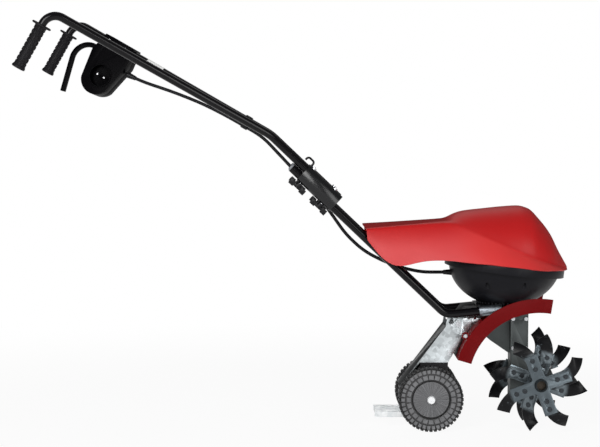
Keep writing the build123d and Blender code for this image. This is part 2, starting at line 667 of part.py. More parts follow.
# Motor bowl: a round bottom cut by the sloping seam
seam_cos = cos(radians(SEAM_TILT))
seam_sin = sin(radians(SEAM_TILT))
seam_plane = Plane((BOWL_X, 0, SEAM_Z - SEAM_GAP), x_dir=(seam_cos, 0, -seam_sin),
                   z_dir=(seam_sin, 0, seam_cos))


def bowl_solid(shrink, low):
    """Solid of the bowl's round form, shrunk by a wall, from low up past the seam."""
    with BuildPart() as solid:
        with BuildSketch(Plane((BOWL_X, 0, SEAM_Z), x_dir=(1, 0, 0), z_dir=(0, -1, 0))):
            Ellipse(BOWL_R - shrink, BOWL_DEPTH - shrink)
            with Locations((0, BOWL_R)):
                Rectangle(2 * BOWL_R - 2 * shrink, 2 * BOWL_R)
            with Locations((-BOWL_R, 0)):
                Rectangle(2 * BOWL_R, 8 * BOWL_R, mode=Mode.SUBTRACT)
            with Locations((0, low - SEAM_Z - BOWL_R)):
                Rectangle(4 * BOWL_R, 2 * BOWL_R, mode=Mode.SUBTRACT)
        revolve(axis=Axis((BOWL_X, 0, 0), (0, 0, 1)))
    return solid.part


bowl_floor = MOUNT_TOP + BOWL_FLOOR_T
rim_r = BOWL_R + RIM_OVER
boss_at = BOWL_R - HOOD_SCREW_IN
boss_places = [(BOWL_X + boss_at * cos(radians(angle)), sign * boss_at * sin(radians(angle)))
               for angle in HOOD_SCREW_ANGLES for side, sign in SIDES]
with BuildPart() as bowl_room:
    add(bowl_solid(BOWL_WALL, bowl_floor))
    with BuildSketch(Plane.XY.offset(MOUNT_Z)):
        with Locations(*boss_places):
            Circle(SCREW_WELL_R + BOWL_WALL / 2)
    extrude(amount=BOWL_DEPTH + BOWL_R, mode=Mode.SUBTRACT)
    with BuildSketch(Plane((WORM_X, 0, MOUNT_Z))):
        Circle(MOTOR_R + SEAT_RING_OUT)
        Circle(MOTOR_R - SEAT_RING_IN, mode=Mode.SUBTRACT)
    extrude(amount=STATOR_Z - MOUNT_Z, mode=Mode.SUBTRACT)
gland_z = seam_height(BOWL_X - BOWL_R) - GLAND_DROP
with BuildPart() as motor_bowl:
    add(bowl_solid(0.0, MOUNT_TOP))
    with BuildSketch(seam_plane.offset(-RIM_T)):
        Circle(rim_r)
    extrude(amount=RIM_T)
    with BuildSketch(seam_plane):
        Circle(3 * BOWL_R)
    extrude(amount=3 * BOWL_R, mode=Mode.SUBTRACT)
    add(bowl_room.part, mode=Mode.SUBTRACT)
    with BuildSketch(Plane.XY.offset(MOUNT_Z)):
        with Locations((WORM_X, 0)):
            Circle(SHAFT_R + GAP)
        with Locations(*motor_bolt_places):
            Circle(BOLT_R + SEAT)
    extrude(amount=bowl_floor - MOUNT_Z + AIR, mode=Mode.SUBTRACT)
    with BuildSketch(Plane((BOWL_X - rim_r, 0, gland_z), x_dir=(0, 1, 0), z_dir=(1, 0, 0))):
        Circle(GLAND_R + SEAT)
    extrude(amount=BOWL_R / 2, mode=Mode.SUBTRACT)
    for x, y in boss_places:
        with BuildSketch(Plane((x, y, MOUNT_Z))):
            Circle(SCREW_WELL_R)
        extrude(amount=seam_height(x) - SCREW_LAND - MOUNT_Z, mode=Mode.SUBTRACT)
        with BuildSketch(Plane((x, y, MOUNT_Z))):
            Circle(SCREW_R + SEAT)
        extrude(amount=BOWL_DEPTH + BOWL_R, mode=Mode.SUBTRACT)
keep(motor_bowl, "motor_bowl")

with BuildPart() as mount_bolts:
    with BuildSketch(Plane.XY.offset(MOUNT_Z - FLANGE_T)):
        with Locations(*motor_bolt_places):
            Circle(BOLT_R)
    extrude(amount=bowl_floor - MOUNT_Z + FLANGE_T)
    with BuildSketch(Plane.XY.offset(bowl_floor)):
        with Locations(*motor_bolt_places):
            Circle(BOLT_HEAD_R)
    extrude(amount=BOLT_HEAD_T)
    for places, thickness in ((hanger_bolts, SHEET_T), (socket_bolts, LUG_T), (fender_lug_bolts, FENDER_T)):
        with BuildSketch(Plane.XY.offset(MOUNT_Z - thickness)):
            with Locations(*places):
                Circle(BOLT_R)
        extrude(amount=thickness + MOUNT_T - AIR)
        with BuildSketch(Plane.XY.offset(MOUNT_Z - thickness)):
            with Locations(*places):
                Circle(BOLT_HEAD_R)
        extrude(amount=-BOLT_HEAD_T)
keep(mount_bolts, "mount_bolts")

# Motor
with BuildPart() as stator:
    with BuildSketch(Plane((WORM_X, 0, STATOR_Z))):
        Circle(MOTOR_R)
        Circle(STATOR_BORE, mode=Mode.SUBTRACT)
    extrude(amount=STATOR_H)
keep(stator, "motor_stator")

with BuildPart() as armature:
    with BuildSketch(Plane((WORM_X, 0, STATOR_Z + GAP))):
        Circle(STATOR_BORE - AIR)
        Circle(SHAFT_R + SEAT, mode=Mode.SUBTRACT)
    extrude(amount=STATOR_H - 2 * GAP)
keep(armature, "armature")

end_z = STATOR_Z + STATOR_H
with BuildPart() as end_bracket:
    with BuildSketch(Plane((WORM_X, 0, end_z))):
        Circle(MOTOR_R)
        with PolarLocations(END_VENT_AT, END_VENTS):
            Circle(END_VENT_R, mode=Mode.SUBTRACT)
    extrude(amount=END_T)
    with BuildSketch(Plane((WORM_X, 0, end_z + END_T))):
        Circle(END_BOSS_R)
    extrude(amount=END_BOSS_H - GAP)
    with BuildSketch(Plane((WORM_X, 0, end_z))):
        Circle(SHAFT_R + RUN)
    extrude(amount=END_T + END_BOSS_H, mode=Mode.SUBTRACT)
keep(end_bracket, "motor_end_bracket")

fan_z = end_z + END_T + END_BOSS_H
with BuildPart() as fan:
    with BuildSketch(Plane((WORM_X, 0, fan_z))):
        Circle(FAN_R)
    extrude(amount=SHEET_T)
    with BuildSketch(Plane((WORM_X, 0, fan_z))):
        Circle(END_BOSS_R)
        with PolarLocations(FAN_BLADE_AT, FAN_BLADES):
            Rectangle(FAN_BLADE_LONG, SHEET_T, rotation=FAN_BLADE_TURN)
    extrude(amount=FAN_H - GAP)
    with BuildSketch(Plane((WORM_X, 0, fan_z))):
        Circle(SHAFT_R + SEAT)
    extrude(amount=FAN_H, mode=Mode.SUBTRACT)
keep(fan, "cooling_fan")


# Hood
def hood_loft(stations, wall, open_ends=False):
    """Loft arched sections: a flared foot, a shoulder and a crown at each station."""
    with BuildPart() as body:
        for index, (along, crown, shoulder, shoulder_rise, foot) in enumerate(stations):
            shift = 0.0
            if index == 0:
                shift = -wall if open_ends else wall
            elif index == len(stations) - 1:
                shift = 1.5 * wall if open_ends else -wall
            x = BOWL_X + along + shift
            top = SEAM_Z + crown - wall
            side_w = max(shoulder - wall, wall)
            side_z = SEAM_Z + shoulder_rise - wall
            foot_w = foot - wall
            foot_z = seam_height(BOWL_X + along)
            hem = (foot_w + SKIRT_FLARE, foot_z - SKIRT - wall)
            sag = FLARE_SAG * (side_z - foot_z) / BOWL_DEPTH
            middle = ((foot_w + side_w) / 2 - sag, (foot_z + side_z) / 2 - sag)
            with BuildSketch(Plane((x, 0, 0), x_dir=(0, 1, 0), z_dir=(1, 0, 0))):
                with BuildLine():
                    Polyline((-foot_w, foot_z), (-hem[0], hem[1]), hem, (foot_w, foot_z))
                    ThreePointArc((foot_w, foot_z), middle, (side_w, side_z))
                    ThreePointArc((side_w, side_z), (0, top), (-side_w, side_z))
                    ThreePointArc((-side_w, side_z), (-middle[0], middle[1]), (-foot_w, foot_z))
                make_face()
        loft()
    return body.part


dome_scale = rim_r / DOME_RIM_R
dome = [(along * dome_scale, crown, shoulder * dome_scale, shoulder_rise, foot * dome_scale)
        for along, crown, shoulder, shoulder_rise, foot in DOME_STATIONS]
dome_start = dome[0]
deck = [*DECK_STATIONS, (dome_start[0], DECK_END_CROWN, *dome_start[2:])]
with BuildPart() as hood_room:
    add(hood_loft(deck, HOOD_WALL, open_ends=True))
    add(hood_loft(dome, HOOD_WALL))
    for x, y in boss_places:
        with Locations((x, y, seam_height(x))):
            Cylinder(HOOD_BOSS_R, 2 * HOOD_BOSS_H, mode=Mode.SUBTRACT)

lift_x = BOWL_X - REAR_LIFT_X
lift_z = seam_height(lift_x) - REAR_LIFT_DROP
heel = (lift_x - REAR_HEEL_RUN, lift_z + REAR_HEEL_RISE)
rear_top = (heel[0] - BOWL_R * tan(radians(REAR_LEAN)), heel[1] + BOWL_R)
rear_far = rear_top[0] - BOWL_R
seam_far = BOWL_X + 2 * BOWL_R
seam_turn = BOWL_X - HEM_TURN
with BuildPart() as hood:
    add(hood_loft(deck, 0.0))
    add(hood_loft(dome, 0.0))
    add(hood_room.part, mode=Mode.SUBTRACT)
    with BuildSketch(side_plane(2 * BOWL_R)):
        with BuildLine():
            seam_line = Line((seam_far, seam_height(seam_far)), (seam_turn, seam_height(seam_turn)))
            dip = Spline(seam_line @ 1, (lift_x, lift_z),
                         tangents=[seam_line % 1, (-REAR_HEEL_RUN, REAR_HEEL_RISE)])
            Polyline(dip @ 1, heel, rear_top, (rear_far, rear_top[1]), (rear_far, 0), (seam_far, 0),
                     seam_line @ 0)
        make_face()
    extrude(amount=4 * BOWL_R, mode=Mode.SUBTRACT)
    for x, y in boss_places:
        with BuildSketch(Plane((x, y, seam_height(x) - RIM_T))):
            Circle(SCREW_R + SEAT)
        extrude(amount=RIM_T + HOOD_SCREW_UP, mode=Mode.SUBTRACT)
keep(hood, "hood")

with BuildPart() as hood_screws:
    for x, y in boss_places:
        land = seam_height(x) - SCREW_LAND
        with BuildSketch(Plane((x, y, land))):
            Circle(SCREW_R)
        extrude(amount=SCREW_LAND + HOOD_SCREW_UP - GAP)
        with BuildSketch(Plane((x, y, land))):
            Circle(SCREW_HEAD_R)
        extrude(amount=-SCREW_HEAD_T)
keep(hood_screws, "hood_screws")


# Fender: a curved back plate with a skirt on each side
def fender_ring(outer, inner):
    """Ring sector round the tine axle, drawn in the middle plane."""
    with BuildSketch(side_plane(0)) as ring:
        with BuildLine():
            out = CenterArc((TINE_X, TINE_Z), outer, FENDER_FRONT, FENDER_REAR - FENDER_FRONT)
            back = CenterArc((TINE_X, TINE_Z), inner, FENDER_REAR, FENDER_FRONT - FENDER_REAR)
            Line(out @ 1, back @ 0)
            Line(back @ 1, out @ 0)
        make_face()
    return ring.sketch


with BuildPart() as fender:
    extrude(fender_ring(FENDER_R, FENDER_R - FENDER_RIM), amount=FENDER_HALF, both=True)
    with BuildSketch(side_plane(FENDER_HALF)):
        with Locations(ROD):
            Circle(ROD_HEAD_R + ROD_LUG)
    extrude(amount=2 * FENDER_HALF)
    with BuildSketch(side_plane(FENDER_HALF - FENDER_T)):
        with Locations((TINE_X, TINE_Z)):
            Circle(FENDER_R - FENDER_T)
    extrude(amount=2 * (FENDER_HALF - FENDER_T), mode=Mode.SUBTRACT)
    with BuildSketch(side_plane(FENDER_HALF - FENDER_T)):
        with Locations(ROD):
            Circle(ROD_HEAD_R + ROD_ROOM)
        with Locations((TINE_X, TINE_Z)):
            Circle(FENDER_R, mode=Mode.SUBTRACT)
    extrude(amount=2 * (FENDER_HALF - FENDER_T), mode=Mode.SUBTRACT)
    with BuildSketch(Plane.XY):
        with Locations((TINE_X - FENDER_OPEN_X + FENDER_R, 0)):
            Rectangle(2 * FENDER_R, 2 * (FENDER_HALF - FENDER_T))
    extrude(amount=2 * SEAM_Z, mode=Mode.SUBTRACT)
    with BuildSketch(Plane.XY.offset(MOUNT_Z - FENDER_T)):
        for side, sign in SIDES:
            with Locations((TINE_X - LUG_X, sign * (lug_bolt_y + FENDER_HALF - BOLT_HEAD_R) / 2)):
                Rectangle(LUG_W, FENDER_HALF - lug_bolt_y + BOLT_HEAD_R)
    extrude(amount=FENDER_T)
    with BuildSketch(Plane.XY.offset(MOUNT_Z - FENDER_T)):
        with Locations(*fender_lug_bolts):
            Circle(BOLT_R + SEAT)
    extrude(amount=FENDER_T, mode=Mode.SUBTRACT)
    add(rod_along_y(ROD, ROD_R + SEAT, -FENDER_HALF, FENDER_HALF), mode=Mode.SUBTRACT)
    add(bowl_solid(-GAP, MOUNT_Z), mode=Mode.SUBTRACT)
keep(fender, "fender")

with BuildPart() as stop_rod:
    add(rod_along_y(ROD, ROD_R, -FENDER_HALF, FENDER_HALF))
    for side, sign in SIDES:
        with BuildSketch(Plane((ROD[0], sign * FENDER_HALF, ROD[1]), x_dir=(1, 0, 0), z_dir=(0, sign, 0))):
            Circle(ROD_HEAD_R)
        extrude(amount=ROD_HEAD_T, taper=ROD_HEAD_TAPER)
keep(stop_rod, "stand_stop_rod")

# Stand hanger: two ears under the mount plate
hanger_front = TINE_X - HANGER_FRONT
access_rear = TINE_X - ACCESS_BACK
access_front = access_rear + ACCESS_GAP
with BuildPart() as hanger:
    with BuildSketch(side_plane(EAR_HALF)):
        with BuildLine():
            Polyline((hanger_front, MOUNT_Z), (hanger_front, MOUNT_Z - SHEET_T),
                     (access_front + ACCESS_EDGE, ACCESS_Z - ACCESS_EDGE),
                     (access_front - ACCESS_EDGE, ACCESS_Z - 1.5 * ACCESS_EDGE),
                     (ROD[0] + EAR_ROD_EDGE, ROD[1] + EAR_ROD_EDGE / 2), (ROD[0], ROD[1] - EAR_ROD_EDGE),
                     (ROD[0] - EAR_ROD_EDGE, ROD[1]), (PIVOT[0], PIVOT[1] - EAR_PIVOT_EDGE),
                     (PIVOT[0] - EAR_PIVOT_EDGE, PIVOT[1]),
                     (PIVOT[0] - EAR_PIVOT_EDGE, PIVOT[1] + EAR_PIVOT_EDGE),
                     (PIVOT[0] + EAR_TOP_AHEAD, MOUNT_Z), close=True)
        make_face()
        with Locations(PIVOT):
            Circle(PIVOT_R + SEAT, mode=Mode.SUBTRACT)
        with Locations(ROD):
            Circle(ROD_R + SEAT, mode=Mode.SUBTRACT)
        with Locations((access_rear, ACCESS_Z), (access_front, ACCESS_Z)):
            Circle(ACCESS_R, mode=Mode.SUBTRACT)
    extrude(amount=2 * EAR_HALF)
    with BuildSketch(side_plane(EAR_HALF - SHEET_T)):
        with Locations((TINE_X, MOUNT_Z - SHEET_T - TINE_R)):
            Rectangle(2 * FENDER_R + TINE_R, 2 * TINE_R)
        with Locations((plate_rear - TINE_R, MOUNT_Z)):
            Rectangle(2 * TINE_R, TINE_R)
    extrude(amount=2 * (EAR_HALF - SHEET_T), mode=Mode.SUBTRACT)
    with BuildSketch(Plane.XY.offset(MOUNT_Z)):
        with Locations(*hanger_bolts):
            Circle(BOLT_R + SEAT)
    extrude(amount=-SHEET_T, mode=Mode.SUBTRACT)
keep(hanger, "stand_hanger")

with BuildPart() as pivot_bolt:
    pivot_half = STAND_HALF + AIR
    add(rod_along_y(PIVOT, PIVOT_R, -pivot_half, pivot_half))
    add(rod_along_y(PIVOT, PIVOT_HEAD_R, pivot_half, pivot_half + PIVOT_HEAD_T))
    add(rod_along_y(PIVOT, PIVOT_HEAD_R, -pivot_half - PIVOT_HEAD_T, -pivot_half))
keep(pivot_bolt, "stand_pivot_bolt")

# Stand bracket: side plates, sloping rear web and a foot on the axle carrier
web_top = Vector(PIVOT[0] - WEB_BACK, 0, PIVOT[1] - WEB_DROP)
web_low = Vector(WHEEL_X - WEB_FOOT_BACK, 0, WHEEL_R + WEB_FOOT_RISE)
web_dir = (web_low - web_top).normalized()
web_face = Vector(-web_dir.Z, 0, web_dir.X)
plate_foot = web_top + web_dir * ((CARRIER_TOP - web_top.Z) / web_dir.Z)
plate_top = [(PIVOT[0] + ahead, PIVOT[1] + rise) for ahead, rise in PLATE_TOP]
stop_x = ROD[0] - ROD_R - AIR
bracket_bolts = [(WHEEL_X + STAND_BOLT_X, sign * STAND_BOLT_Y) for side, sign in SIDES]
with BuildPart() as bracket:
    with BuildSketch(side_plane(STAND_HALF)):
        with BuildLine():
            Polyline((web_top.X, web_top.Z), *plate_top, (stop_x, ROD[1] + ROD_STOP_HALF),
                     (stop_x, ROD[1] - ROD_STOP_HALF), (PIVOT[0] + SHIN_AHEAD, PIVOT[1] - SHIN_DROP),
                     (WHEEL_X + CARRIER_FRONT, CARRIER_TOP), (plate_foot.X, CARRIER_TOP), close=True)
        make_face()
        with Locations(PIVOT):
            Circle(PIVOT_R + RUN, mode=Mode.SUBTRACT)
    extrude(amount=2 * STAND_HALF)
    inner_half = STAND_HALF - SHEET_T
    with BuildSketch(side_plane(inner_half)):
        with Locations((PIVOT[0], CARRIER_TOP + SHEET_T + TINE_R)):
            Rectangle(2 * TINE_R, 2 * TINE_R)
    extrude(amount=2 * inner_half, mode=Mode.SUBTRACT)
    with BuildSketch(side_plane(STAND_HALF)):
        with BuildLine():
            corners = (web_top, web_low, web_low + web_face * SHEET_T, web_top + web_face * SHEET_T)
            Polyline(*[(corner.X, corner.Z) for corner in corners], close=True)
        make_face()
    extrude(amount=2 * STAND_HALF)
    with BuildSketch(Plane.XY.offset(CARRIER_TOP)):
        with Locations(*bracket_bolts):
            Circle(BOLT_R + SEAT)
    extrude(amount=SHEET_T, mode=Mode.SUBTRACT)
keep(bracket, "stand_bracket")

pedal_rear = WHEEL_X - PEDAL_BACK
pedal_front = WHEEL_X + PEDAL_FRONT
pedal_bolts = [(WHEEL_X + PEDAL_BOLT_X, sign * PEDAL_BOLT_Y) for side, sign in SIDES]
carrier_half = WHEEL_GAP / 2 - GAP
web_clear = plate_foot + web_face * (SHEET_T + CARRIER_WEB_ROOM)
waist_ahead, waist_drop = CARRIER_WAIST
foot_front, foot_rear = CARRIER_FOOT
back_ahead, back_rise = CARRIER_BACK
bolt_bore = STAND_BOLT_LONG + GAP
with BuildPart() as carrier:
    with BuildSketch(side_plane(carrier_half)):
        with BuildLine():
            Polyline((web_clear.X, CARRIER_TOP), (WHEEL_X + CARRIER_FRONT, CARRIER_TOP),
                     (WHEEL_X + waist_ahead, CARRIER_TOP - waist_drop), (WHEEL_X + foot_front, PEDAL_Z),
                     (WHEEL_X + foot_rear, PEDAL_Z), (WHEEL_X + back_ahead, WHEEL_R + back_rise), close=True)
        make_face()
        with Locations((WHEEL_X, WHEEL_R)):
            Circle(WHEEL_AXLE_R + SEAT, mode=Mode.SUBTRACT)
    extrude(amount=2 * carrier_half)
    with BuildSketch(Plane.XY.offset(CARRIER_TOP)):
        with Locations(*bracket_bolts):
            Circle(BOLT_R + SEAT)
    extrude(amount=-bolt_bore, mode=Mode.SUBTRACT)
    with BuildSketch(Plane.XY.offset(PEDAL_Z)):
        with Locations(*pedal_bolts):
            Circle(BOLT_R + SEAT)
    extrude(amount=bolt_bore, mode=Mode.SUBTRACT)
keep(carrier, "axle_carrier")

with BuildPart() as stand_bolts:
    with BuildSketch(Plane.XY.offset(CARRIER_TOP - STAND_BOLT_LONG)):
        with Locations(*bracket_bolts):
            Circle(BOLT_R)
    extrude(amount=STAND_BOLT_LONG + SHEET_T)
    with BuildSketch(Plane.XY.offset(CARRIER_TOP + SHEET_T)):
        with Locations(*bracket_bolts):
            Circle(BOLT_HEAD_R)
    extrude(amount=BOLT_HEAD_T)
    with BuildSketch(Plane.XY.offset(PEDAL_Z - PEDAL_T)):
        with Locations(*pedal_bolts):
            Circle(BOLT_R)
    extrude(amount=STAND_BOLT_LONG + PEDAL_T)
    with BuildSketch(Plane.XY.offset(PEDAL_Z - PEDAL_T)):
        with Locations(*pedal_bolts):
            Circle(BOLT_HEAD_R)
    extrude(amount=-BOLT_HEAD_T)
keep(stand_bolts, "stand_bolts")

wheel_in = WHEEL_GAP / 2
wheel_out = wheel_in + WHEEL_W
axle_tip = wheel_out + BOLT_HEAD_T
with BuildPart() as wheel_axle:
    add(rod_along_y((WHEEL_X, WHEEL_R), WHEEL_AXLE_R, -axle_tip, axle_tip))
keep(wheel_axle, "wheel_axle")

with BuildPart() as axle_caps:
    for side, sign in SIDES:
        cap_foot = (WHEEL_X, sign * (wheel_out + AIR), WHEEL_R)
        with BuildSketch(Plane(cap_foot, x_dir=(1, 0, 0), z_dir=(0, sign, 0))):
            Circle(WHEEL_CAP_R)
        extrude(amount=WHEEL_CAP_T, taper=WHEEL_CAP_TAPER)
    cap_bore = axle_tip + SEAT
    add(rod_along_y((WHEEL_X, WHEEL_R), WHEEL_AXLE_R + SEAT, -cap_bore, cap_bore), mode=Mode.SUBTRACT)
keep(axle_caps, "axle_caps")

for side, sign in SIDES:
    middle_y = sign * (wheel_in + WHEEL_W / 2)
    with BuildPart() as wheel:
        with BuildSketch(Plane((WHEEL_X, middle_y, WHEEL_R), x_dir=(1, 0, 0), z_dir=(0, 0, 1))):
            with BuildLine():
                half = WHEEL_W / 2
                dish = half - WHEEL_DISH
                wall = half - WHEEL_RIM_FALL
                edge = half - TREAD_FALL
                bore = WHEEL_AXLE_R + RUN
                Polyline((bore, half), (WHEEL_HUB_R, half), (WHEEL_HUB_R, dish), (WHEEL_RIM_R, dish),
                         (WHEEL_RIM_R, wall), (WHEEL_R - TREAD_EDGE, half), (WHEEL_R, edge), (WHEEL_R, -edge),
                         (WHEEL_R - TREAD_EDGE, -half), (WHEEL_RIM_R, -wall), (WHEEL_RIM_R, -dish),
                         (WHEEL_HUB_R, -dish), (WHEEL_HUB_R, -half), (bore, -half), close=True)
            make_face()
        revolve(axis=Axis((WHEEL_X, 0, WHEEL_R), (0, 1, 0)))
    keep(wheel, f"wheel_{side}")

with BuildPart() as pedal:
    with BuildSketch(Plane((0, 0, PEDAL_Z - PEDAL_LIP))):
        with Locations(((pedal_rear + pedal_front) / 2, 0)):
            Rectangle(pedal_front - pedal_rear, 2 * PEDAL_HALF)
    extrude(amount=PEDAL_LIP)
    with BuildSketch(Plane((0, 0, PEDAL_Z - PEDAL_LIP))):
        with Locations(((pedal_rear + pedal_front) / 2, 0)):
            Rectangle(pedal_front - pedal_rear, 2 * (PEDAL_HALF - PEDAL_T))
    extrude(amount=PEDAL_LIP - PEDAL_T, mode=Mode.SUBTRACT)
    with BuildSketch(Plane((pedal_rear, 0, PEDAL_Z), x_dir=(0, 1, 0), z_dir=(1, 0, 0))):
        with GridLocations(PEDAL_RIB_PITCH, PEDAL_RIB_PITCH, PEDAL_RIBS, 1):
            Rectangle(PEDAL_RIB_W, 2 * PEDAL_RIB_H)
    extrude(amount=PEDAL_RIB_LONG)
    with BuildSketch(Plane.XY.offset(PEDAL_Z)):
        with Locations(*pedal_bolts):
            Circle(BOLT_R + SEAT)
    extrude(amount=-PEDAL_T, mode=Mode.SUBTRACT)
keep(pedal, "foot_pedal")

# Handle sockets and lower tubes
socket_start = SOCKET_RUN + SOCKET_PAST - SOCKET_LONG
socket_lug_low = MOUNT_Z - LUG_T
with BuildPart() as sockets:
    for side, sign in SIDES:
        start = CORNER + SOCKET_DIR * socket_start + Vector(0, sign * TUBE_Y, 0)
        with BuildSketch(Plane(start, x_dir=(0, 1, 0), z_dir=SOCKET_DIR)):
            Circle(SOCKET_R)
        extrude(amount=SOCKET_LONG)
        lug_in = EAR_HALF + AIR
        with BuildSketch(Plane.XY.offset(socket_lug_low)):
            with Locations((TINE_X - SOCKET_LUG_BACK, sign * (lug_in + TUBE_Y) / 2)):
                Rectangle(LUG_W, TUBE_Y - lug_in)
        extrude(amount=LUG_T)
    for side, sign in SIDES:
        start = CORNER + SOCKET_DIR * (socket_start - GAP) + Vector(0, sign * TUBE_Y, 0)
        with BuildSketch(Plane(start, x_dir=(0, 1, 0), z_dir=SOCKET_DIR)):
            Circle(TUBE_R + SEAT)
        extrude(amount=SOCKET_LONG + 2 * GAP, mode=Mode.SUBTRACT)
    with BuildSketch(Plane.XY.offset(socket_lug_low)):
        with Locations(*socket_bolts):
            Circle(BOLT_R + SEAT)
    extrude(amount=LUG_T, mode=Mode.SUBTRACT)
keep(sockets, "handle_sockets")


def swept_tube(points, radii):
    """Hollow handle tube along straight runs and bends."""
    with BuildPart() as tube:
        with BuildLine() as path:
            FilletPolyline(*points, radius=radii)
        with BuildSketch(Plane(path.line @ 0, z_dir=path.line % 0)):
            Circle(TUBE_R)
            Circle(TUBE_R - TUBE_WALL, mode=Mode.SUBTRACT)
        sweep(path=path.line)
    return tube.part


def clamp_hole(along, y, radius, low, high):
    """Round bar across the stacked tubes at a clamp bolt."""
    with BuildPart() as bar:
        with BuildSketch(Plane(lower_point(along, low, y), x_dir=(0, 1, 0), z_dir=STACK_DIR)):
            Circle(radius)
        extrude(amount=high - low)
    return bar.part


clamp_r = TUBE_R + CLAMP_WALL
bolt_top = STACK + clamp_r
knob_top = -clamp_r - AIR
run_xz = Vector(-cos(radians(HANDLE_SLOPE)), 0, sin(radians(HANDLE_SLOPE))) * HANDLE_RUN
rise_dir = Vector(sin(radians(HANDLE_SLOPE)), 0, cos(radians(HANDLE_SLOPE)))
handle_planes = {}
for side, sign in SIDES:
    with BuildPart() as lower_tube:
        add(swept_tube((CORNER + SOCKET_DIR * SOCKET_RUN + Vector(0, sign * TUBE_Y, 0),
                        CORNER + Vector(0, sign * TUBE_Y, 0), lower_point(LOWER_RUN, 0, sign * TUBE_Y)),
                       [LOWER_BEND_R]))
        for along in KNOB_PLACES:
            add(clamp_hole(along, sign * TUBE_Y, BOLT_R + SEAT, -clamp_r, bolt_top), mode=Mode.SUBTRACT)
    keep(lower_tube, f"lower_tube_{side}")

    bend = lower_point(UPPER_BEND, STACK, sign * TUBE_Y)
    top = bend + run_xz + Vector(0, sign * (GRIP_Y - TUBE_Y), 0)
    handle_plane = Plane(top, x_dir=bend - top, z_dir=(bend - top).cross(rise_dir))
    handle_planes[side] = handle_plane
    tube_end = top - rise_dir * GRIP_DROP
    with BuildPart() as upper_tube:
        add(swept_tube((lower_point(CLAMP_FROM + AIR, STACK, sign * TUBE_Y), bend, top, tube_end),
                       [UPPER_BEND_R, GRIP_BEND_R]))
        for along in KNOB_PLACES:
            add(clamp_hole(along, sign * TUBE_Y, BOLT_R + SEAT, -clamp_r, bolt_top), mode=Mode.SUBTRACT)
        if side == "left":
            with BuildSketch(handle_plane.offset(-CASE_HALF)):
                with Locations(*[(u, 0) for u in SWITCH_SCREWS]):
                    Circle(SCREW_R + SEAT)
            extrude(amount=2 * CASE_HALF, mode=Mode.SUBTRACT)
    keep(upper_tube, f"upper_tube_{side}")

    with BuildPart() as grip:
        grip_start = top - rise_dir * GRIP_FROM
        with BuildSketch(Plane(grip_start, x_dir=(0, 1, 0), z_dir=-rise_dir)):
            Circle(FLANGE_R)
        extrude(amount=GRIP_END_T)
        with BuildSketch(Plane(grip_start, x_dir=(0, 1, 0), z_dir=-rise_dir)):
            Circle(GRIP_R)
        extrude(amount=GRIP_DROP - GRIP_FROM + GRIP_END_T)
        with BuildSketch(Plane(grip_start, x_dir=(0, 1, 0), z_dir=-rise_dir)):
            Circle(TUBE_R + SEAT)
        extrude(amount=GRIP_DROP - GRIP_FROM + SEAT, mode=Mode.SUBTRACT)
    keep(grip, f"grip_{side}")

    with BuildPart() as clamp:
        start = lower_point(CLAMP_FROM, STACK / 2, sign * TUBE_Y)
        with BuildSketch(Plane(start, x_dir=STACK_DIR, z_dir=RUN_DIR)):
            SlotCenterToCenter(STACK, 2 * clamp_r)
            with Locations((-STACK / 2, 0), (STACK / 2, 0)):
                Circle(TUBE_R + SEAT, mode=Mode.SUBTRACT)
        extrude(amount=CLAMP_TO - CLAMP_FROM)
        for along in KNOB_PLACES:
            add(clamp_hole(along, sign * TUBE_Y, BOLT_R + SEAT, knob_top, bolt_top + AIR), mode=Mode.SUBTRACT)
    keep(clamp, f"clamp_{side}")

    for place, along in zip(("front", "rear"), KNOB_PLACES):
        with BuildPart() as knob:
            hub = lower_point(along, knob_top, sign * TUBE_Y)
            with BuildSketch(Plane(hub, x_dir=RUN_DIR, z_dir=-STACK_DIR)):
                Circle(KNOB_HUB_R)
            extrude(amount=KNOB_H)
            bar = lower_point(along, knob_top - KNOB_H / 2, sign * TUBE_Y)
            with BuildSketch(Plane(bar, x_dir=RUN_DIR, z_dir=-STACK_DIR)):
                SlotOverall(KNOB_LONG, KNOB_BAR)
            extrude(amount=KNOB_H / 2)
            knob_foot = knob_top - KNOB_H
            add(clamp_hole(along, sign * TUBE_Y, BOLT_R + RUN, knob_foot, knob_top), mode=Mode.SUBTRACT)
        keep(knob, f"knob_{side}_{place}")

with BuildPart() as clamp_bolts:
    for side, sign in SIDES:
        for along in KNOB_PLACES:
            add(clamp_hole(along, sign * TUBE_Y, BOLT_R, knob_top - KNOB_H + KNOB_BLIND, bolt_top + AIR))
            add(clamp_hole(along, sign * TUBE_Y, BOLT_HEAD_R, bolt_top + SEAT, bolt_top + BOLT_HEAD_T))
keep(clamp_bolts, "clamp_bolts")

with BuildPart() as tube_caps:
    for side, sign in SIDES:
        end = lower_point(LOWER_RUN, 0, sign * TUBE_Y)
        with BuildSketch(Plane(end, x_dir=(0, 1, 0), z_dir=RUN_DIR)):
            Circle(TUBE_R)
        extrude(amount=CAP_T, taper=CAP_TAPER)
        with BuildSketch(Plane(end, x_dir=(0, 1, 0), z_dir=RUN_DIR)):
            Circle(TUBE_R - TUBE_WALL - SEAT)
        extrude(amount=-2 * CAP_T)
keep(tube_caps, "lower_tube_caps")

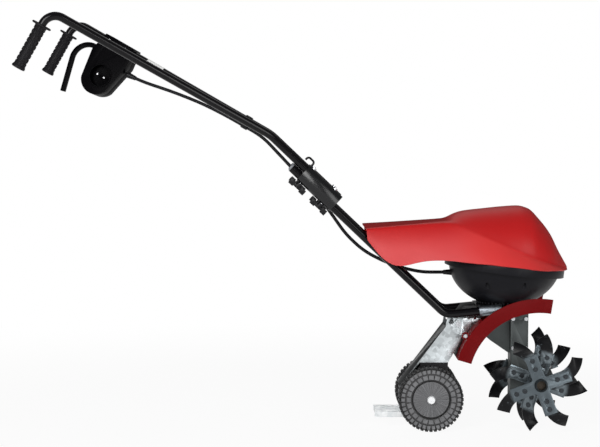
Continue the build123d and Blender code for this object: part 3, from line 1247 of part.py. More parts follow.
# Cord hook standing on the right clamp
hook_foot = STACK + clamp_r + SEAT
with BuildPart() as cord_hook:
    with BuildLine() as hook_path:
        hook_in = CLAMP_TO - HOOK_IN
        hook_out = CLAMP_TO + HOOK_OUT
        FilletPolyline(lower_point(hook_in, hook_foot, -TUBE_Y),
                       lower_point(hook_in, hook_foot + HOOK_H, -TUBE_Y),
                       lower_point(hook_out, hook_foot + HOOK_H, -TUBE_Y),
                       lower_point(hook_out, hook_foot + HOOK_TIP, -TUBE_Y), radius=HOOK_BEND_R)
    with BuildSketch(Plane(hook_path.line @ 0, z_dir=hook_path.line % 0)):
        Circle(HOOK_R)
    sweep(path=hook_path.line)
keep(cord_hook, "cord_hook")

# Switch housing: two shells that close round the left handle tube
left_plane = handle_planes["left"]


def case_outline(inset):
    """Outline of the switch housing in the handle plane, drawn in by inset below the tube."""
    whole = inset == 0
    top_v = CASE_TOP if whole else -TUBE_R - CASE_WALL
    nose, tail = (CASE_NOSE, CASE_TAIL) if whole else (0.0, 0.0)
    left, right = CASE_FROM + inset, CASE_TO - inset
    low = inset - CASE_DROP
    with BuildSketch(Plane.XY, mode=Mode.PRIVATE) as outline:
        with BuildLine():
            first = Polyline((left - CASE_FLARE, -CASE_SHOULDER), (left + nose, top_v), (right - tail, top_v),
                             (right, -CASE_SHOULDER), (right - CASE_CHIN[0], low + CASE_CHIN[1]))
            last = ThreePointArc(first @ 1, ((left + right) / 2 - CASE_KEEL, low),
                                 (left + CASE_HEEL[0], low + CASE_HEEL[1]))
            Line(last @ 1, first @ 0)
        make_face()
    return outline.sketch


outer_outline = left_plane.from_local_coords(case_outline(0))
inner_outline = left_plane.from_local_coords(case_outline(CASE_WALL))
tube_axis = Plane(left_plane.from_local_coords((CASE_FROM - CASE_TOP, 0, 0)), z_dir=left_plane.x_dir)
slot_from, slot_to = CASE_FROM - TRIGGER_SLOT_PAST, TRIGGER_U - GAP
inlet_pin_places = [(INLET_U + side * INLET_PIN_GAP / 2, INLET_V) for side in (-1, 1)]
switch_screw_places = [(u, 0) for u in SWITCH_SCREWS]
for name, sign in (("switch_case", -1.0), ("switch_cover", 1.0)):
    with BuildPart() as shell:
        extrude(outer_outline, amount=sign * CASE_HALF, dir=left_plane.z_dir)
        room = sign * (CASE_HALF - CASE_WALL)
        extrude(inner_outline, amount=room, dir=left_plane.z_dir, mode=Mode.SUBTRACT)
        if name == "switch_cover":
            with BuildSketch(left_plane.offset(CASE_HALF - INLET_DEPTH - CASE_WALL)):
                with Locations((INLET_U, INLET_V)):
                    Circle(INLET_R + INLET_WALL)
            extrude(amount=INLET_DEPTH + CASE_WALL + INLET_COLLAR)
            with BuildSketch(left_plane.offset(CASE_HALF - INLET_DEPTH)):
                with Locations((INLET_U, INLET_V)):
                    Circle(INLET_R)
            extrude(amount=INLET_DEPTH + INLET_COLLAR, mode=Mode.SUBTRACT)
            with BuildSketch(left_plane):
                with Locations(*inlet_pin_places):
                    Circle(INLET_PIN_R + SEAT)
            extrude(amount=CASE_HALF - INLET_DEPTH, mode=Mode.SUBTRACT)
        else:
            with BuildSketch(left_plane.offset(CASE_WALL - CASE_HALF)):
                with Locations((TRIGGER_U, TRIGGER_V)):
                    Circle(TRIGGER_PIN_R)
            extrude(amount=2 * CASE_HALF - 2 * CASE_WALL - AIR)
        with BuildSketch(tube_axis):
            Circle(TUBE_R + SEAT)
        extrude(amount=2 * CASE_TO, mode=Mode.SUBTRACT)
        with BuildSketch(left_plane.offset(-TRIGGER_T / 2 - AIR)):
            with Locations(((slot_from + slot_to) / 2, TRIGGER_V + TRIGGER_ELBOW[1])):
                Rectangle(slot_to - slot_from, TRIGGER_SLOT)
        extrude(amount=TRIGGER_T + 2 * AIR, mode=Mode.SUBTRACT)
        if name == "switch_case":
            with BuildSketch(left_plane.offset(-TRIGGER_T / 2 - AIR)):
                with Locations((TRIGGER_U, TRIGGER_V)):
                    Circle(TRIGGER_PIN_R)
            extrude(amount=TRIGGER_T + 2 * AIR)
        with BuildSketch(left_plane.offset(-CASE_HALF)):
            with Locations(*switch_screw_places):
                Circle(SCREW_R + SEAT)
        extrude(amount=2 * CASE_HALF, mode=Mode.SUBTRACT)
    keep(shell, name)

with BuildPart() as switch_screws:
    with BuildSketch(left_plane.offset(GAP - CASE_HALF)):
        with Locations(*switch_screw_places):
            Circle(SCREW_R)
    extrude(amount=2 * CASE_HALF - GAP)
    with BuildSketch(left_plane.offset(CASE_HALF)):
        with Locations(*switch_screw_places):
            Circle(SCREW_HEAD_R)
    extrude(amount=SCREW_HEAD_T / 2)
keep(switch_screws, "switch_screws")

with BuildPart() as inlet_pins:
    with BuildSketch(left_plane.offset(CASE_HALF - INLET_DEPTH - CASE_WALL - GAP)):
        with Locations(*inlet_pin_places):
            Circle(INLET_PIN_R)
    extrude(amount=INLET_PIN_LONG + CASE_WALL + GAP)
keep(inlet_pins, "inlet_pins")

with BuildPart() as power_switch:
    with BuildSketch(left_plane.offset(CASE_WALL - CASE_HALF)):
        with Locations((CASE_TO - SWITCH_BACK, TRIGGER_V - SWITCH_DROP)):
            RectangleRounded(SWITCH_LONG, SWITCH_H, SWITCH_CORNER_R)
    extrude(amount=CASE_HALF - CASE_WALL)
keep(power_switch, "power_switch")

with BuildPart() as trigger:
    with BuildSketch(left_plane.offset(-TRIGGER_T / 2)):
        with BuildLine():
            FilletPolyline(*[(TRIGGER_U + u, TRIGGER_V + v) for u, v in ((0, 0), TRIGGER_ELBOW, TRIGGER_END)],
                           radius=TRIGGER_BEND_R)
        trace(line_width=TRIGGER_W)
        with Locations((TRIGGER_U, TRIGGER_V)):
            Circle(TRIGGER_HUB_R)
            Circle(TRIGGER_PIN_R + RUN, mode=Mode.SUBTRACT)
    extrude(amount=TRIGGER_T)
keep(trigger, "trigger_lever")


# Motor cable: from the switch housing, under the left tube, past the joint, into the bowl
def handle_point(u, v):
    """Point in the left handle plane, u along the tube and v over it."""
    return left_plane.from_local_coords(Vector(u, v, 0))


cord_exit = CASE_TO - 2.0
cord_end = Vector(BOWL_X - BOWL_R + GLAND_IN, 0, gland_z)
CORD_POINTS = (
    handle_point(cord_exit, -50),
    handle_point(cord_exit + 52, -45),
    handle_point(cord_exit + 128, -30),
    handle_point(cord_exit + 206, -19),
    handle_point(CLIP_U - 52, -CLIP_DROP),
    handle_point(CLIP_U + 52, -CLIP_DROP),
    lower_point(LOWER_RUN + 42, 0, 50),
    lower_point(LOWER_RUN - 18, -3, 34),
    lower_point(LOWER_RUN - 84, -6, 28),
    lower_point(LOWER_RUN - 146, -16, 26),
    lower_point(LOWER_RUN - 204, -28, 22),
    Vector(BOWL_X - 332, 16, gland_z + 48),
    Vector(BOWL_X - 284, 10, gland_z + 24),
    Vector(BOWL_X - 240, 4, gland_z + 9),
    Vector(BOWL_X - 196, 0, gland_z),
    cord_end,
)
cord_radii = []
for before, here, after in zip(CORD_POINTS, CORD_POINTS[1:], CORD_POINTS[2:]):
    run_in, run_out = here - before, after - here
    half_turn = radians(run_in.get_angle(run_out)) / 2
    cord_radii.append(BEND_SHARE * min(run_in.length, run_out.length) / tan(half_turn))
with BuildPart() as cable:
    with BuildLine() as cord_path:
        FilletPolyline(*CORD_POINTS, radius=cord_radii)
    with BuildSketch(Plane(cord_path.line @ 0, z_dir=cord_path.line % 0)):
        Circle(CORD_R)
    sweep(path=cord_path.line)
keep(cable, "motor_cable")

clip_plane = Plane(handle_point(CLIP_U - CLIP_W / 2, 0), x_dir=left_plane.y_dir, z_dir=left_plane.x_dir)
with BuildPart() as cable_clip:
    with BuildSketch(clip_plane):
        Circle(TUBE_R + CLIP_WALL)
        with Locations((-CLIP_DROP, 0)):
            Circle(CORD_R + CLIP_WALL)
        make_hull()
        Circle(TUBE_R + SEAT, mode=Mode.SUBTRACT)
        with Locations((-CLIP_DROP, 0)):
            Circle(CORD_R + SEAT, mode=Mode.SUBTRACT)
    extrude(amount=CLIP_W)
keep(cable_clip, "cable_clip")

cord_start_dir = CORD_POINTS[1] - CORD_POINTS[0]
cord_end_dir = CORD_POINTS[-1] - CORD_POINTS[-2]
with BuildPart() as glands:
    with BuildSketch(Plane(CORD_POINTS[0] + cord_start_dir.normalized() * GLAND_SHOWS, z_dir=cord_start_dir)):
        Circle(GLAND_R)
    extrude(amount=GLAND_LONG, taper=GLAND_TAPER)
    with BuildSketch(Plane(cord_end, z_dir=-cord_end_dir)):
        Circle(GLAND_R)
    extrude(amount=GLAND_LONG, taper=GLAND_TAPER)
    add(cable.part, mode=Mode.SUBTRACT)
keep(glands, "cable_glands")
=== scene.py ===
"""Looks of the electric tiller: a finish for every CAD node, and fine pieces over plain solids."""

from __future__ import annotations

import logging
import math
from dataclasses import dataclass
from enum import Enum, StrEnum
from typing import Any, Iterable, Sequence, Union

import bmesh
import bpy
from mathutils import Matrix, Vector


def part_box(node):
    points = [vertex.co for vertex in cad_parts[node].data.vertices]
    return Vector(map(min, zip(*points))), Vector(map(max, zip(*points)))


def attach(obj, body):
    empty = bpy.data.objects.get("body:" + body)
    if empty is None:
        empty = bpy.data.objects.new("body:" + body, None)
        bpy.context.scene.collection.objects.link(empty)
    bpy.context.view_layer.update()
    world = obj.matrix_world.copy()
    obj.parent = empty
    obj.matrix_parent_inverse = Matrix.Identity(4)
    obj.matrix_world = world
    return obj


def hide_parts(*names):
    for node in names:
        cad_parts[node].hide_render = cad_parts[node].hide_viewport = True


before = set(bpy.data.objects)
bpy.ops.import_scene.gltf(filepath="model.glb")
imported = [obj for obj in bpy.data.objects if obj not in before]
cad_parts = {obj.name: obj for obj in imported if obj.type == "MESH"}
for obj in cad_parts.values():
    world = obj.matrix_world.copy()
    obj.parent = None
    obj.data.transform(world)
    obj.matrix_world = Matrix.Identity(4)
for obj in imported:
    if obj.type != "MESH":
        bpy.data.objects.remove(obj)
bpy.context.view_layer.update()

log = logging.getLogger("tiller")

Colour = tuple[float, float, float]
Spot = tuple[float, float, float]
Pair = tuple[float, float]
Value = Union["Wire", float, Colour]
Row = Sequence[bmesh.types.BMVert]
Mesh = bpy.types.Mesh
Material = bpy.types.Material
BMesh = bmesh.types.BMesh

MM = 0.001
BLACK: Colour = (0.0, 0.0, 0.0)
WHITE: Colour = (1.0, 1.0, 1.0)

# places and sizes of the CAD model that several pieces share
ACROSS = Vector((0.0, 1.0, 0.0))
TINE_AXLE: Spot = (541.2 * MM, 0.0, 114.4 * MM)
WHEEL_AXLE: Spot = (289.2 * MM, 0.0, 76.0 * MM)
WHEEL_DISH_R = 41.7 * MM
CLAMP_RUN: Spot = (-0.72417, 0.0, 0.68962)
HANDLE_BEND: Spot = (-571.524 * MM, 215.0 * MM, 969.584 * MM)

# tolerances of the mesh work
WELD = 0.01 * MM
CUT_SLACK = 0.001 * MM
SHARP_DEG = 38.0


class Side(StrEnum):
    """Side of the machine, for one who stands at the handles."""

    RIGHT = "right"
    LEFT = "left"

    @property
    def sign(self) -> float:
        """Direction of the side along Y."""
        return -1.0 if self is Side.RIGHT else 1.0


class Wire:
    """A shader socket that takes part in Python expressions."""

    def __init__(self, bench: Bench, socket: bpy.types.NodeSocket) -> None:
        """Keep the socket and the bench that its nodes are added to."""
        self.bench = bench
        self.socket = socket

    def _math(self, operation: str, *operands: Value) -> Wire:
        """Result of one Math node on the operands, in order."""
        return self.bench.add("ShaderNodeMath", {"operation": operation}, dict(enumerate(operands)))

    def __add__(self, other: Value) -> Wire:
        """Sum."""
        return self._math("ADD", self, other)

    __radd__ = __add__

    def __mul__(self, other: Value) -> Wire:
        """Product."""
        return self._math("MULTIPLY", self, other)

    __rmul__ = __mul__

    def __sub__(self, other: Value) -> Wire:
        """Difference."""
        return self._math("SUBTRACT", self, other)

    def __rsub__(self, other: Value) -> Wire:
        """Reflected difference."""
        return self._math("SUBTRACT", other, self)

    def __abs__(self) -> Wire:
        """Size without its sign."""
        return self._math("ABSOLUTE", self)


class Bench:
    """One node tree under construction: a material's, the world's or a pattern's."""

    # numbers of the Mix node's colour sockets, whose names aren't unique
    MIX_LOW, MIX_HIGH, MIX_RESULT = 6, 7, 2

    def __init__(self, owner: bpy.types.ID) -> None:
        """Start with an empty tree.

        Args:
            owner: A node tree, or the material or world that has one.
        """
        self.owner = self.tree = owner
        if not isinstance(owner, bpy.types.NodeTree):
            owner.use_nodes = True
            self.tree = owner.node_tree
        self.tree.nodes.clear()
        self.place: Wire | None = None

    @classmethod
    def material(cls, name: str) -> Bench:
        """A bench for a new material."""
        return cls(bpy.data.materials.new(f"finish_{name}"))

    def add(
        self,
        kind: str,
        settings: dict[str, Any] | None = None,
        inputs: dict[int | str, Value] | None = None,
        output: int | str = 0,
    ) -> Wire:
        """Add a node of any type.

        Args:
            kind: Node type.
            settings: Attributes set first; "stops" are a ramp's two positions with their greys.
            inputs: Values or wires by socket name or number.
            output: Which output is returned.

        Returns:
            The chosen output.
        """
        node = self.tree.nodes.new(kind)
        for key, value in (settings or {}).items():
            if key != "stops":
                setattr(node, key, value)
                continue
            for element, (position, grey) in zip(node.color_ramp.elements, value):
                element.position = position
                element.color = (grey, grey, grey, 1.0)
        for key, value in (inputs or {}).items():
            socket = node.inputs[key]
            if isinstance(value, Wire):
                self.tree.links.new(value.socket, socket)
            elif isinstance(value, tuple) and socket.type == "RGBA":
                socket.default_value = (*value, 1.0)
            else:
                socket.default_value = value
        return Wire(self, node.outputs[output])

    def where(self) -> Wire:
        """Object coordinates, one node for the whole material."""
        self.place = self.place or self.add("ShaderNodeTexCoord", output="Object")
        return self.place

    def along(self, axis: str, place: Wire | None = None) -> Wire:
        """One coordinate of a place, the surface's own unless another is given."""
        return self.add("ShaderNodeSeparateXYZ", None, {0: place or self.where()}, axis)

    def vector(self, operation: str, *operands: Value, output: int | str = 0) -> Wire:
        """Result of one Vector Math node on the operands, in order."""
        inputs = dict(enumerate(operands))
        return self.add("ShaderNodeVectorMath", {"operation": operation}, inputs, output)

    def spoke(self, axle: Spot) -> Wire:
        """Offset from an axle that runs across the machine, in the plane of its wheel."""
        offset = self.vector("SUBTRACT", self.where(), axle)
        return self.vector("MULTIPLY", offset, (1.0, 0.0, 1.0))

    def length(self, vector: Wire) -> Wire:
        """Length of a vector."""
        return self.vector("LENGTH", vector, output="Value")

    def fade(self, value: Wire, low: float, high: float) -> Wire:
        """Smooth step from 0 at low to 1 at high."""
        settings = {"interpolation_type": "SMOOTHSTEP"}
        return self.add("ShaderNodeMapRange", settings, {"Value": value, 1: low, 2: high})

    def noise(self, scale: float, detail: float, place: Wire | None = None) -> Wire:
        """Noise with a number of features per metre and of octaves, over the piece or a place."""
        inputs = {"Vector": place or self.where(), "Scale": scale, "Detail": detail}
        return self.add("ShaderNodeTexNoise", None, inputs)

    def drawn(self, stretch: Spot) -> Wire:
        """Object coordinates scaled along each axis, for brushed or drawn metal."""
        return self.add("ShaderNodeMapping", None, {"Vector": self.where(), "Scale": stretch})

    def cells(self, scale: float, output: str) -> Wire:
        """Cells with a number of them per metre, as distance or colour."""
        inputs = {"Vector": self.where(), "Scale": scale}
        return self.add("ShaderNodeTexVoronoi", None, inputs, output)

    def ramp(self, factor: Wire, *stops: Pair) -> Wire:
        """Greys between two stops, each a position and a grey."""
        return self.add("ShaderNodeValToRGB", {"stops": stops}, {"Fac": factor})

    def mix(self, low: Value, high: Value, factor: Value) -> Wire:
        """Mix of two colours, the first at factor 0 and the second at 1."""
        inputs = {"Factor": factor, self.MIX_LOW: low, self.MIX_HIGH: high}
        return self.add("ShaderNodeMix", {"data_type": "RGBA"}, inputs, self.MIX_RESULT)

    def tinted(self, colour: Colour, tones: Pair, factor: Value) -> Wire:
        """A colour between a darker and a lighter tone of itself."""
        return self.mix(*(shade(colour, tone) for tone in tones), factor)

    def bump(self, height: Wire, depth: float) -> Wire:
        """Normal bumped by a height pattern, with its depth in metres."""
        return self.add("ShaderNodeBump", None, {"Height": height, "Distance": depth})

    def done(self, **inputs: Value) -> Material:
        """Close the material with a Principled shader; its inputs have underscores for spaces."""
        named = {key.replace("_", " "): value for key, value in inputs.items()}
        return self.close(self.add("ShaderNodeBsdfPrincipled", None, named))

    def close(self, surface: Wire) -> Material | bpy.types.World:
        """Link a shader to the output.

        Args:
            surface: The shader.

        Returns:
            The finished material or world.
        """
        kind = "World" if isinstance(self.owner, bpy.types.World) else "Material"
        output = self.tree.nodes.new("ShaderNodeOutput" + kind)
        self.tree.links.new(surface.socket, output.inputs["Surface"])
        return self.owner


def shade(colour: Colour, factor: float) -> Colour:
    """A darker or lighter version of a colour."""
    return tuple(min(1.0, channel * factor) for channel in colour)


@dataclass(frozen=True)
class Skin:
    """A surface with clouds and a grain, each given as features per metre and octaves."""

    name: str
    colour: Colour
    roughness: float
    gloss: float = 0.5
    metal: float = 0.0
    cloud: Pair = (14.0, 4.0)
    tones: Pair = (0.88, 1.12)
    grain: Pair = (2600.0, 2.0)
    depth: float = 0.03 * MM
    # what is added to the roughness where the clouds are darkest, and how far it rises from there
    swing: Pair = (0.0, 0.1)

    def make(self) -> Material:
        """Build the material.

        Returns:
            The finished material.
        """
        bench = Bench.material(self.name)
        cloud, grain = bench.noise(*self.cloud), self.relief(bench)
        colour = bench.tinted(self.colour, self.tones, self.wear(bench, cloud))
        colour, rough = self.local(bench, colour, self.rough(bench, cloud, grain))
        return bench.done(
            Base_Color=colour,
            Metallic=self.metal,
            Roughness=rough,
            Specular_IOR_Level=self.gloss,
            Normal=bench.bump(grain, self.depth),
        )

    def relief(self, bench: Bench) -> Wire:
        """Height pattern."""
        return bench.noise(*self.grain)

    def wear(self, bench: Bench, cloud: Wire) -> Wire:
        """What leads from the dark tone to the light one."""
        return cloud

    def rough(self, bench: Bench, cloud: Wire, grain: Wire) -> Wire:
        """Roughness, which follows the clouds."""
        low, rise = self.swing
        return self.roughness + low + cloud * rise

    def local(self, bench: Bench, colour: Wire, rough: Wire) -> tuple[Wire, Wire]:
        """Colour and roughness with local changes, none on a plain surface."""
        return colour, rough


@dataclass(frozen=True)
class Moulded(Skin):
    """Injection moulded plastic, whose swing is a share of its roughness."""

    swing: Pair = (-0.15, 0.3)

    def rough(self, bench: Bench, cloud: Wire, grain: Wire) -> Wire:
        """Roughness, which follows the clouds."""
        low, rise = self.swing
        return self.roughness * (1.0 + low) + cloud * (self.roughness * rise)


@dataclass(frozen=True)
class HoodPlastic(Moulded):
    """Red hood plastic with painted light: deck darker as painted shade and rougher, side paler
    towards the hem as painted sheen, dome darker than the flare as painted shade.
    """

    gloss: float = 0.22
    tones: Pair = (0.95, 1.05)
    grain: Pair = (700.0, 2.0)
    depth: float = 0.01 * MM
    # painted light: the deck top, the top of the side and the dome above the crease are darkened as
    # painted shade; the side towards the hem and the flare below the crease are paled as painted
    # sheen
    deck_line: float = 463.4 * MM
    deck_slope: float = 0.0872
    deck_edge: Pair = (0.4 * MM, 2.0 * MM)
    deck_end: float = 318.0 * MM
    deck_fade: float = 26.0 * MM
    deck_painted_shade: float = 0.5
    deck_rough: float = 0.5
    side_deep: float = 60.0 * MM
    side_end: float = 430.0 * MM
    side_painted_shade: float = 0.82
    skirt_painted_sheen: Colour = (0.56, 0.046, 0.048)
    crease_line: float = 629.0 * MM
    crease_slope: float = 0.42
    crease_fade: float = 5.0 * MM
    dome_painted_shade: float = 0.78
    flare_painted_sheen: Colour = (0.58, 0.034, 0.033)

    def local(self, bench: Bench, colour: Wire, rough: Wire) -> tuple[Wire, Wire]:
        """Paint shade on the deck, the top of the side and the dome, and sheen on the side towards
        the hem and on the flare below the dome's crease.

        Args:
            bench: The material under construction.
            colour: Colour of the plain plastic.
            rough: Roughness of the plain plastic.

        Returns:
            Colour and roughness of the hood.
        """
        over = bench.along("Z") - bench.along("X") * self.deck_slope
        top = bench.fade(over, *(self.deck_line + rise for rise in self.deck_edge))
        ahead = bench.fade(bench.along("X"), self.deck_end, self.deck_end + self.deck_fade)
        deck = top * (1.0 - ahead)
        rear = 1.0 - bench.fade(bench.along("X"), self.deck_end, self.side_end)
        down = 1.0 - bench.fade(over, self.deck_line - self.side_deep, self.deck_line)
        # side: painted shade at the top, painted sheen towards the hem
        side = bench.mix(shade(self.colour, self.side_painted_shade), self.skirt_painted_sheen, down)
        slant = bench.along("Z") + bench.along("X") * self.crease_slope
        low, high = self.crease_line - self.crease_fade, self.crease_line + self.crease_fade
        # dome darkened as painted shade, flare below the crease paled as painted sheen
        dome = bench.mix(BLACK, colour, self.dome_painted_shade)
        front = bench.mix(self.flare_painted_sheen, dome, bench.fade(slant, low, high))
        colour = bench.mix(front, side, rear)
        # deck top darkened as painted shade; its added roughness is real
        deep = shade(self.colour, self.deck_painted_shade)
        return bench.mix(colour, deep, deck), rough + deck * self.deck_rough


@dataclass(frozen=True)
class PowderCoat(Skin):
    """Powder coated steel tube with orange peel and dull rubs."""

    gloss: float = 0.2
    cloud: Pair = (9.0, 5.0)
    tones: Pair = (0.85, 1.2)
    grain: Pair = (520.0, 1.0)
    depth: float = 0.04 * MM
    rub: Pair = (60.0, 8.0)
    rub_draw: Spot = (1.0, 6.0, 2.0)
    rub_stops: tuple[Pair, Pair] = ((0.62, 0.0), (0.72, 1.0))
    rub_rough: float = 0.12

    def rough(self, bench: Bench, cloud: Wire, grain: Wire) -> Wire:
        """Roughness, more where the tube is rubbed."""
        rub = bench.ramp(bench.noise(*self.rub, bench.drawn(self.rub_draw)), *self.rub_stops)
        return super().rough(bench, cloud, grain) + rub * self.rub_rough


@dataclass(frozen=True)
class CastMetal(Skin):
    """Sand or die cast housing with a coarse skin."""

    metal: float = 0.85
    cloud: Pair = (25.0, 4.0)
    tones: Pair = (0.75, 1.15)
    grain: Pair = (900.0, 3.0)
    depth: float = 0.1 * MM
    swing: Pair = (0.0, 0.15)

    def rough(self, bench: Bench, cloud: Wire, grain: Wire) -> Wire:
        """Roughness, which follows the grain."""
        return super().rough(bench, grain, grain)


@dataclass(frozen=True)
class Rubber(Skin):
    """Soft black rubber with a bloom of dust and fine pebbles."""

    gloss: float = 0.15
    cloud: Pair = (30.0, 5.0)
    tones: Pair = (1.0, 2.0)
    pebble: float = 1400.0
    depth: float = 0.06 * MM
    swing: Pair = (-0.1, 0.25)

    def relief(self, bench: Bench) -> Wire:
        """Height pattern of the pebbles."""
        return bench.cells(self.pebble, "Distance")


@dataclass(frozen=True)
class WheelPlastic(Skin):
    """Moulded wheel: grey scuffed blocks and disc, streaked from the axle, on a ground darkened as
    painted shade.
    """

    cloud: Pair = (45.0, 5.0)
    # the dark tone is painted shade on the ground between and round the blocks; the light one is
    # the scuffed plastic
    tones: Pair = (0.16, 1.7)
    grain: Pair = (1500.0, 2.0)
    depth: float = 0.06 * MM
    swing: Pair = (-0.1, 0.2)
    streak: Pair = (7.0, 6.0)
    middle: float = 67.0 * MM
    block: Pair = (16.7 * MM, 17.2 * MM)
    disc: Pair = (WHEEL_DISH_R - 0.6 * MM, WHEEL_DISH_R + 0.2 * MM)
    # tone without a pattern, and how much the clouds or the streaks add
    block_tone: Pair = (0.35, 0.9)
    disc_tone: Pair = (0.15, 1.1)

    def wear(self, bench: Bench, cloud: Wire) -> Wire:
        """Scuffs on the raised blocks and streaks on the disc, with the ground between left dark as
        painted shade.

        Args:
            bench: The material under construction.
            cloud: Clouds of the plastic.

        Returns:
            What leads from the dark tone to the light one.
        """
        spoke = bench.spoke(WHEEL_AXLE)
        streak = bench.noise(*self.streak, bench.vector("NORMALIZE", spoke))
        block = bench.fade(abs(abs(bench.along("Y")) - self.middle), *self.block)
        disc = 1.0 - bench.fade(bench.length(spoke), *self.disc)
        (block_low, scuff), (disc_low, scrape) = self.block_tone, self.disc_tone
        return block * (block_low + cloud * scuff) + disc * (disc_low + streak * scrape)


@dataclass(frozen=True)
class TineSteel:
    """Hardened tine steel: bare and blued near the axle, scratched black paint further out."""

    name: str
    colour: Colour
    roughness: float
    paint: Colour
    painted_from: float
    hub_r: float = 0.0
    hub_fade: float = 0.8 * MM
    hub_tone: float = 0.2
    paint_fade: float = 12.0 * MM
    ragged: float = 12.0 * MM
    metal: float = 0.95
    gloss: float = 0.15
    tones: Pair = (0.75, 1.25)
    cloud: Pair = (38.0, 5.0)
    scratch: Pair = (90.0, 7.0)
    scratch_draw: Spot = (1.0, 5.0, 1.6)
    nick_stops: tuple[Pair, Pair] = ((0.66, 0.0), (0.7, 0.6))
    nick_share: float = 0.5
    cloud_share: float = 0.6
    scratch_share: float = 0.4
    depth: float = 0.06 * MM
    swing: Pair = (-0.08, 0.18)

    def make(self) -> Material:
        """Build the material.

        Returns:
            The finished material.
        """
        bench = Bench.material(self.name)
        reach = bench.length(bench.spoke(TINE_AXLE))
        cloud = bench.noise(*self.cloud)
        scratch = bench.noise(*self.scratch, bench.drawn(self.scratch_draw))
        edge = reach + cloud * self.ragged
        paint = bench.fade(edge, self.painted_from, self.painted_from + self.paint_fade)
        nick = bench.ramp(scratch, *self.nick_stops)
        cover = paint * (1.0 - nick * self.nick_share)
        tone = cloud * self.cloud_share + scratch * self.scratch_share
        steel = bench.tinted(self.colour, self.tones, tone)
        if self.hub_r:
            beyond = bench.fade(reach, self.hub_r, self.hub_r + self.hub_fade)
            steel = bench.mix(shade(self.colour, self.hub_tone), steel, beyond)
        return bench.done(
            Base_Color=bench.mix(steel, self.paint, cover),
            Metallic=self.metal - cover * self.metal,
            Roughness=self.roughness + self.swing[0] + cloud * self.swing[1],
            Specular_IOR_Level=self.gloss,
            Normal=bench.bump(scratch, self.depth),
        )


@dataclass(frozen=True)
class ZincPlate:
    """Plated or bare steel: pale spangle, faint drawing lines and smudges, with painted shade in
    places.
    """

    name: str
    colour: Colour
    roughness: float
    spangle: float = 110.0
    draw: Spot = (1.0, 1.0, 14.0)
    contrast: float = 0.25
    metal: float = 1.0
    lines: Pair = (55.0, 6.0)
    smudge: Pair = (18.0, 3.0)
    flake_share: float = 0.5
    lines_share: float = 0.3
    smudge_share: float = 0.2
    depth: float = 0.03 * MM
    swing: Pair = (-0.08, 0.2)
    # painted shade: within a half width across the machine, or above a height, the steel is
    # darkened to stand in for shade
    painted_shade_within: float = 0.0
    within_fade: float = 0.3 * MM
    painted_shade_above: float = 0.0
    above_fade: float = 0.5 * MM
    painted_shade_tone: float = 0.02

    def make(self) -> Material:
        """Build the material.

        Returns:
            The finished material.
        """
        bench = Bench.material(self.name)
        flakes = bench.cells(self.spangle, "Color")
        flake = bench.add("ShaderNodeSeparateColor", None, {"Color": flakes})
        lines = bench.noise(*self.lines, bench.drawn(self.draw))
        tone = flake * self.flake_share + lines * self.lines_share
        tone = tone + bench.noise(*self.smudge) * self.smudge_share
        colour = bench.tinted(self.colour, (1 - self.contrast, 1 + self.contrast), tone)
        dark = shade(self.colour, self.painted_shade_tone)
        metal: Value = self.metal
        # painted shade on the inner web between the side plates
        if self.painted_shade_within:
            off = abs(bench.along("Y"))
            outside = bench.fade(off, self.painted_shade_within, self.painted_shade_within + self.within_fade)
            colour = bench.mix(dark, colour, outside)
        # painted shade above a height: darker and not metallic
        if self.painted_shade_above:
            top = self.painted_shade_above + self.above_fade
            above = bench.fade(bench.along("Z"), self.painted_shade_above, top)
            colour = bench.mix(colour, dark, above)
            metal = metal * (1.0 - above)
        return bench.done(
            Base_Color=colour,
            Metallic=metal,
            Roughness=self.roughness + self.swing[0] + tone * self.swing[1],
            Normal=bench.bump(lines, self.depth),
        )


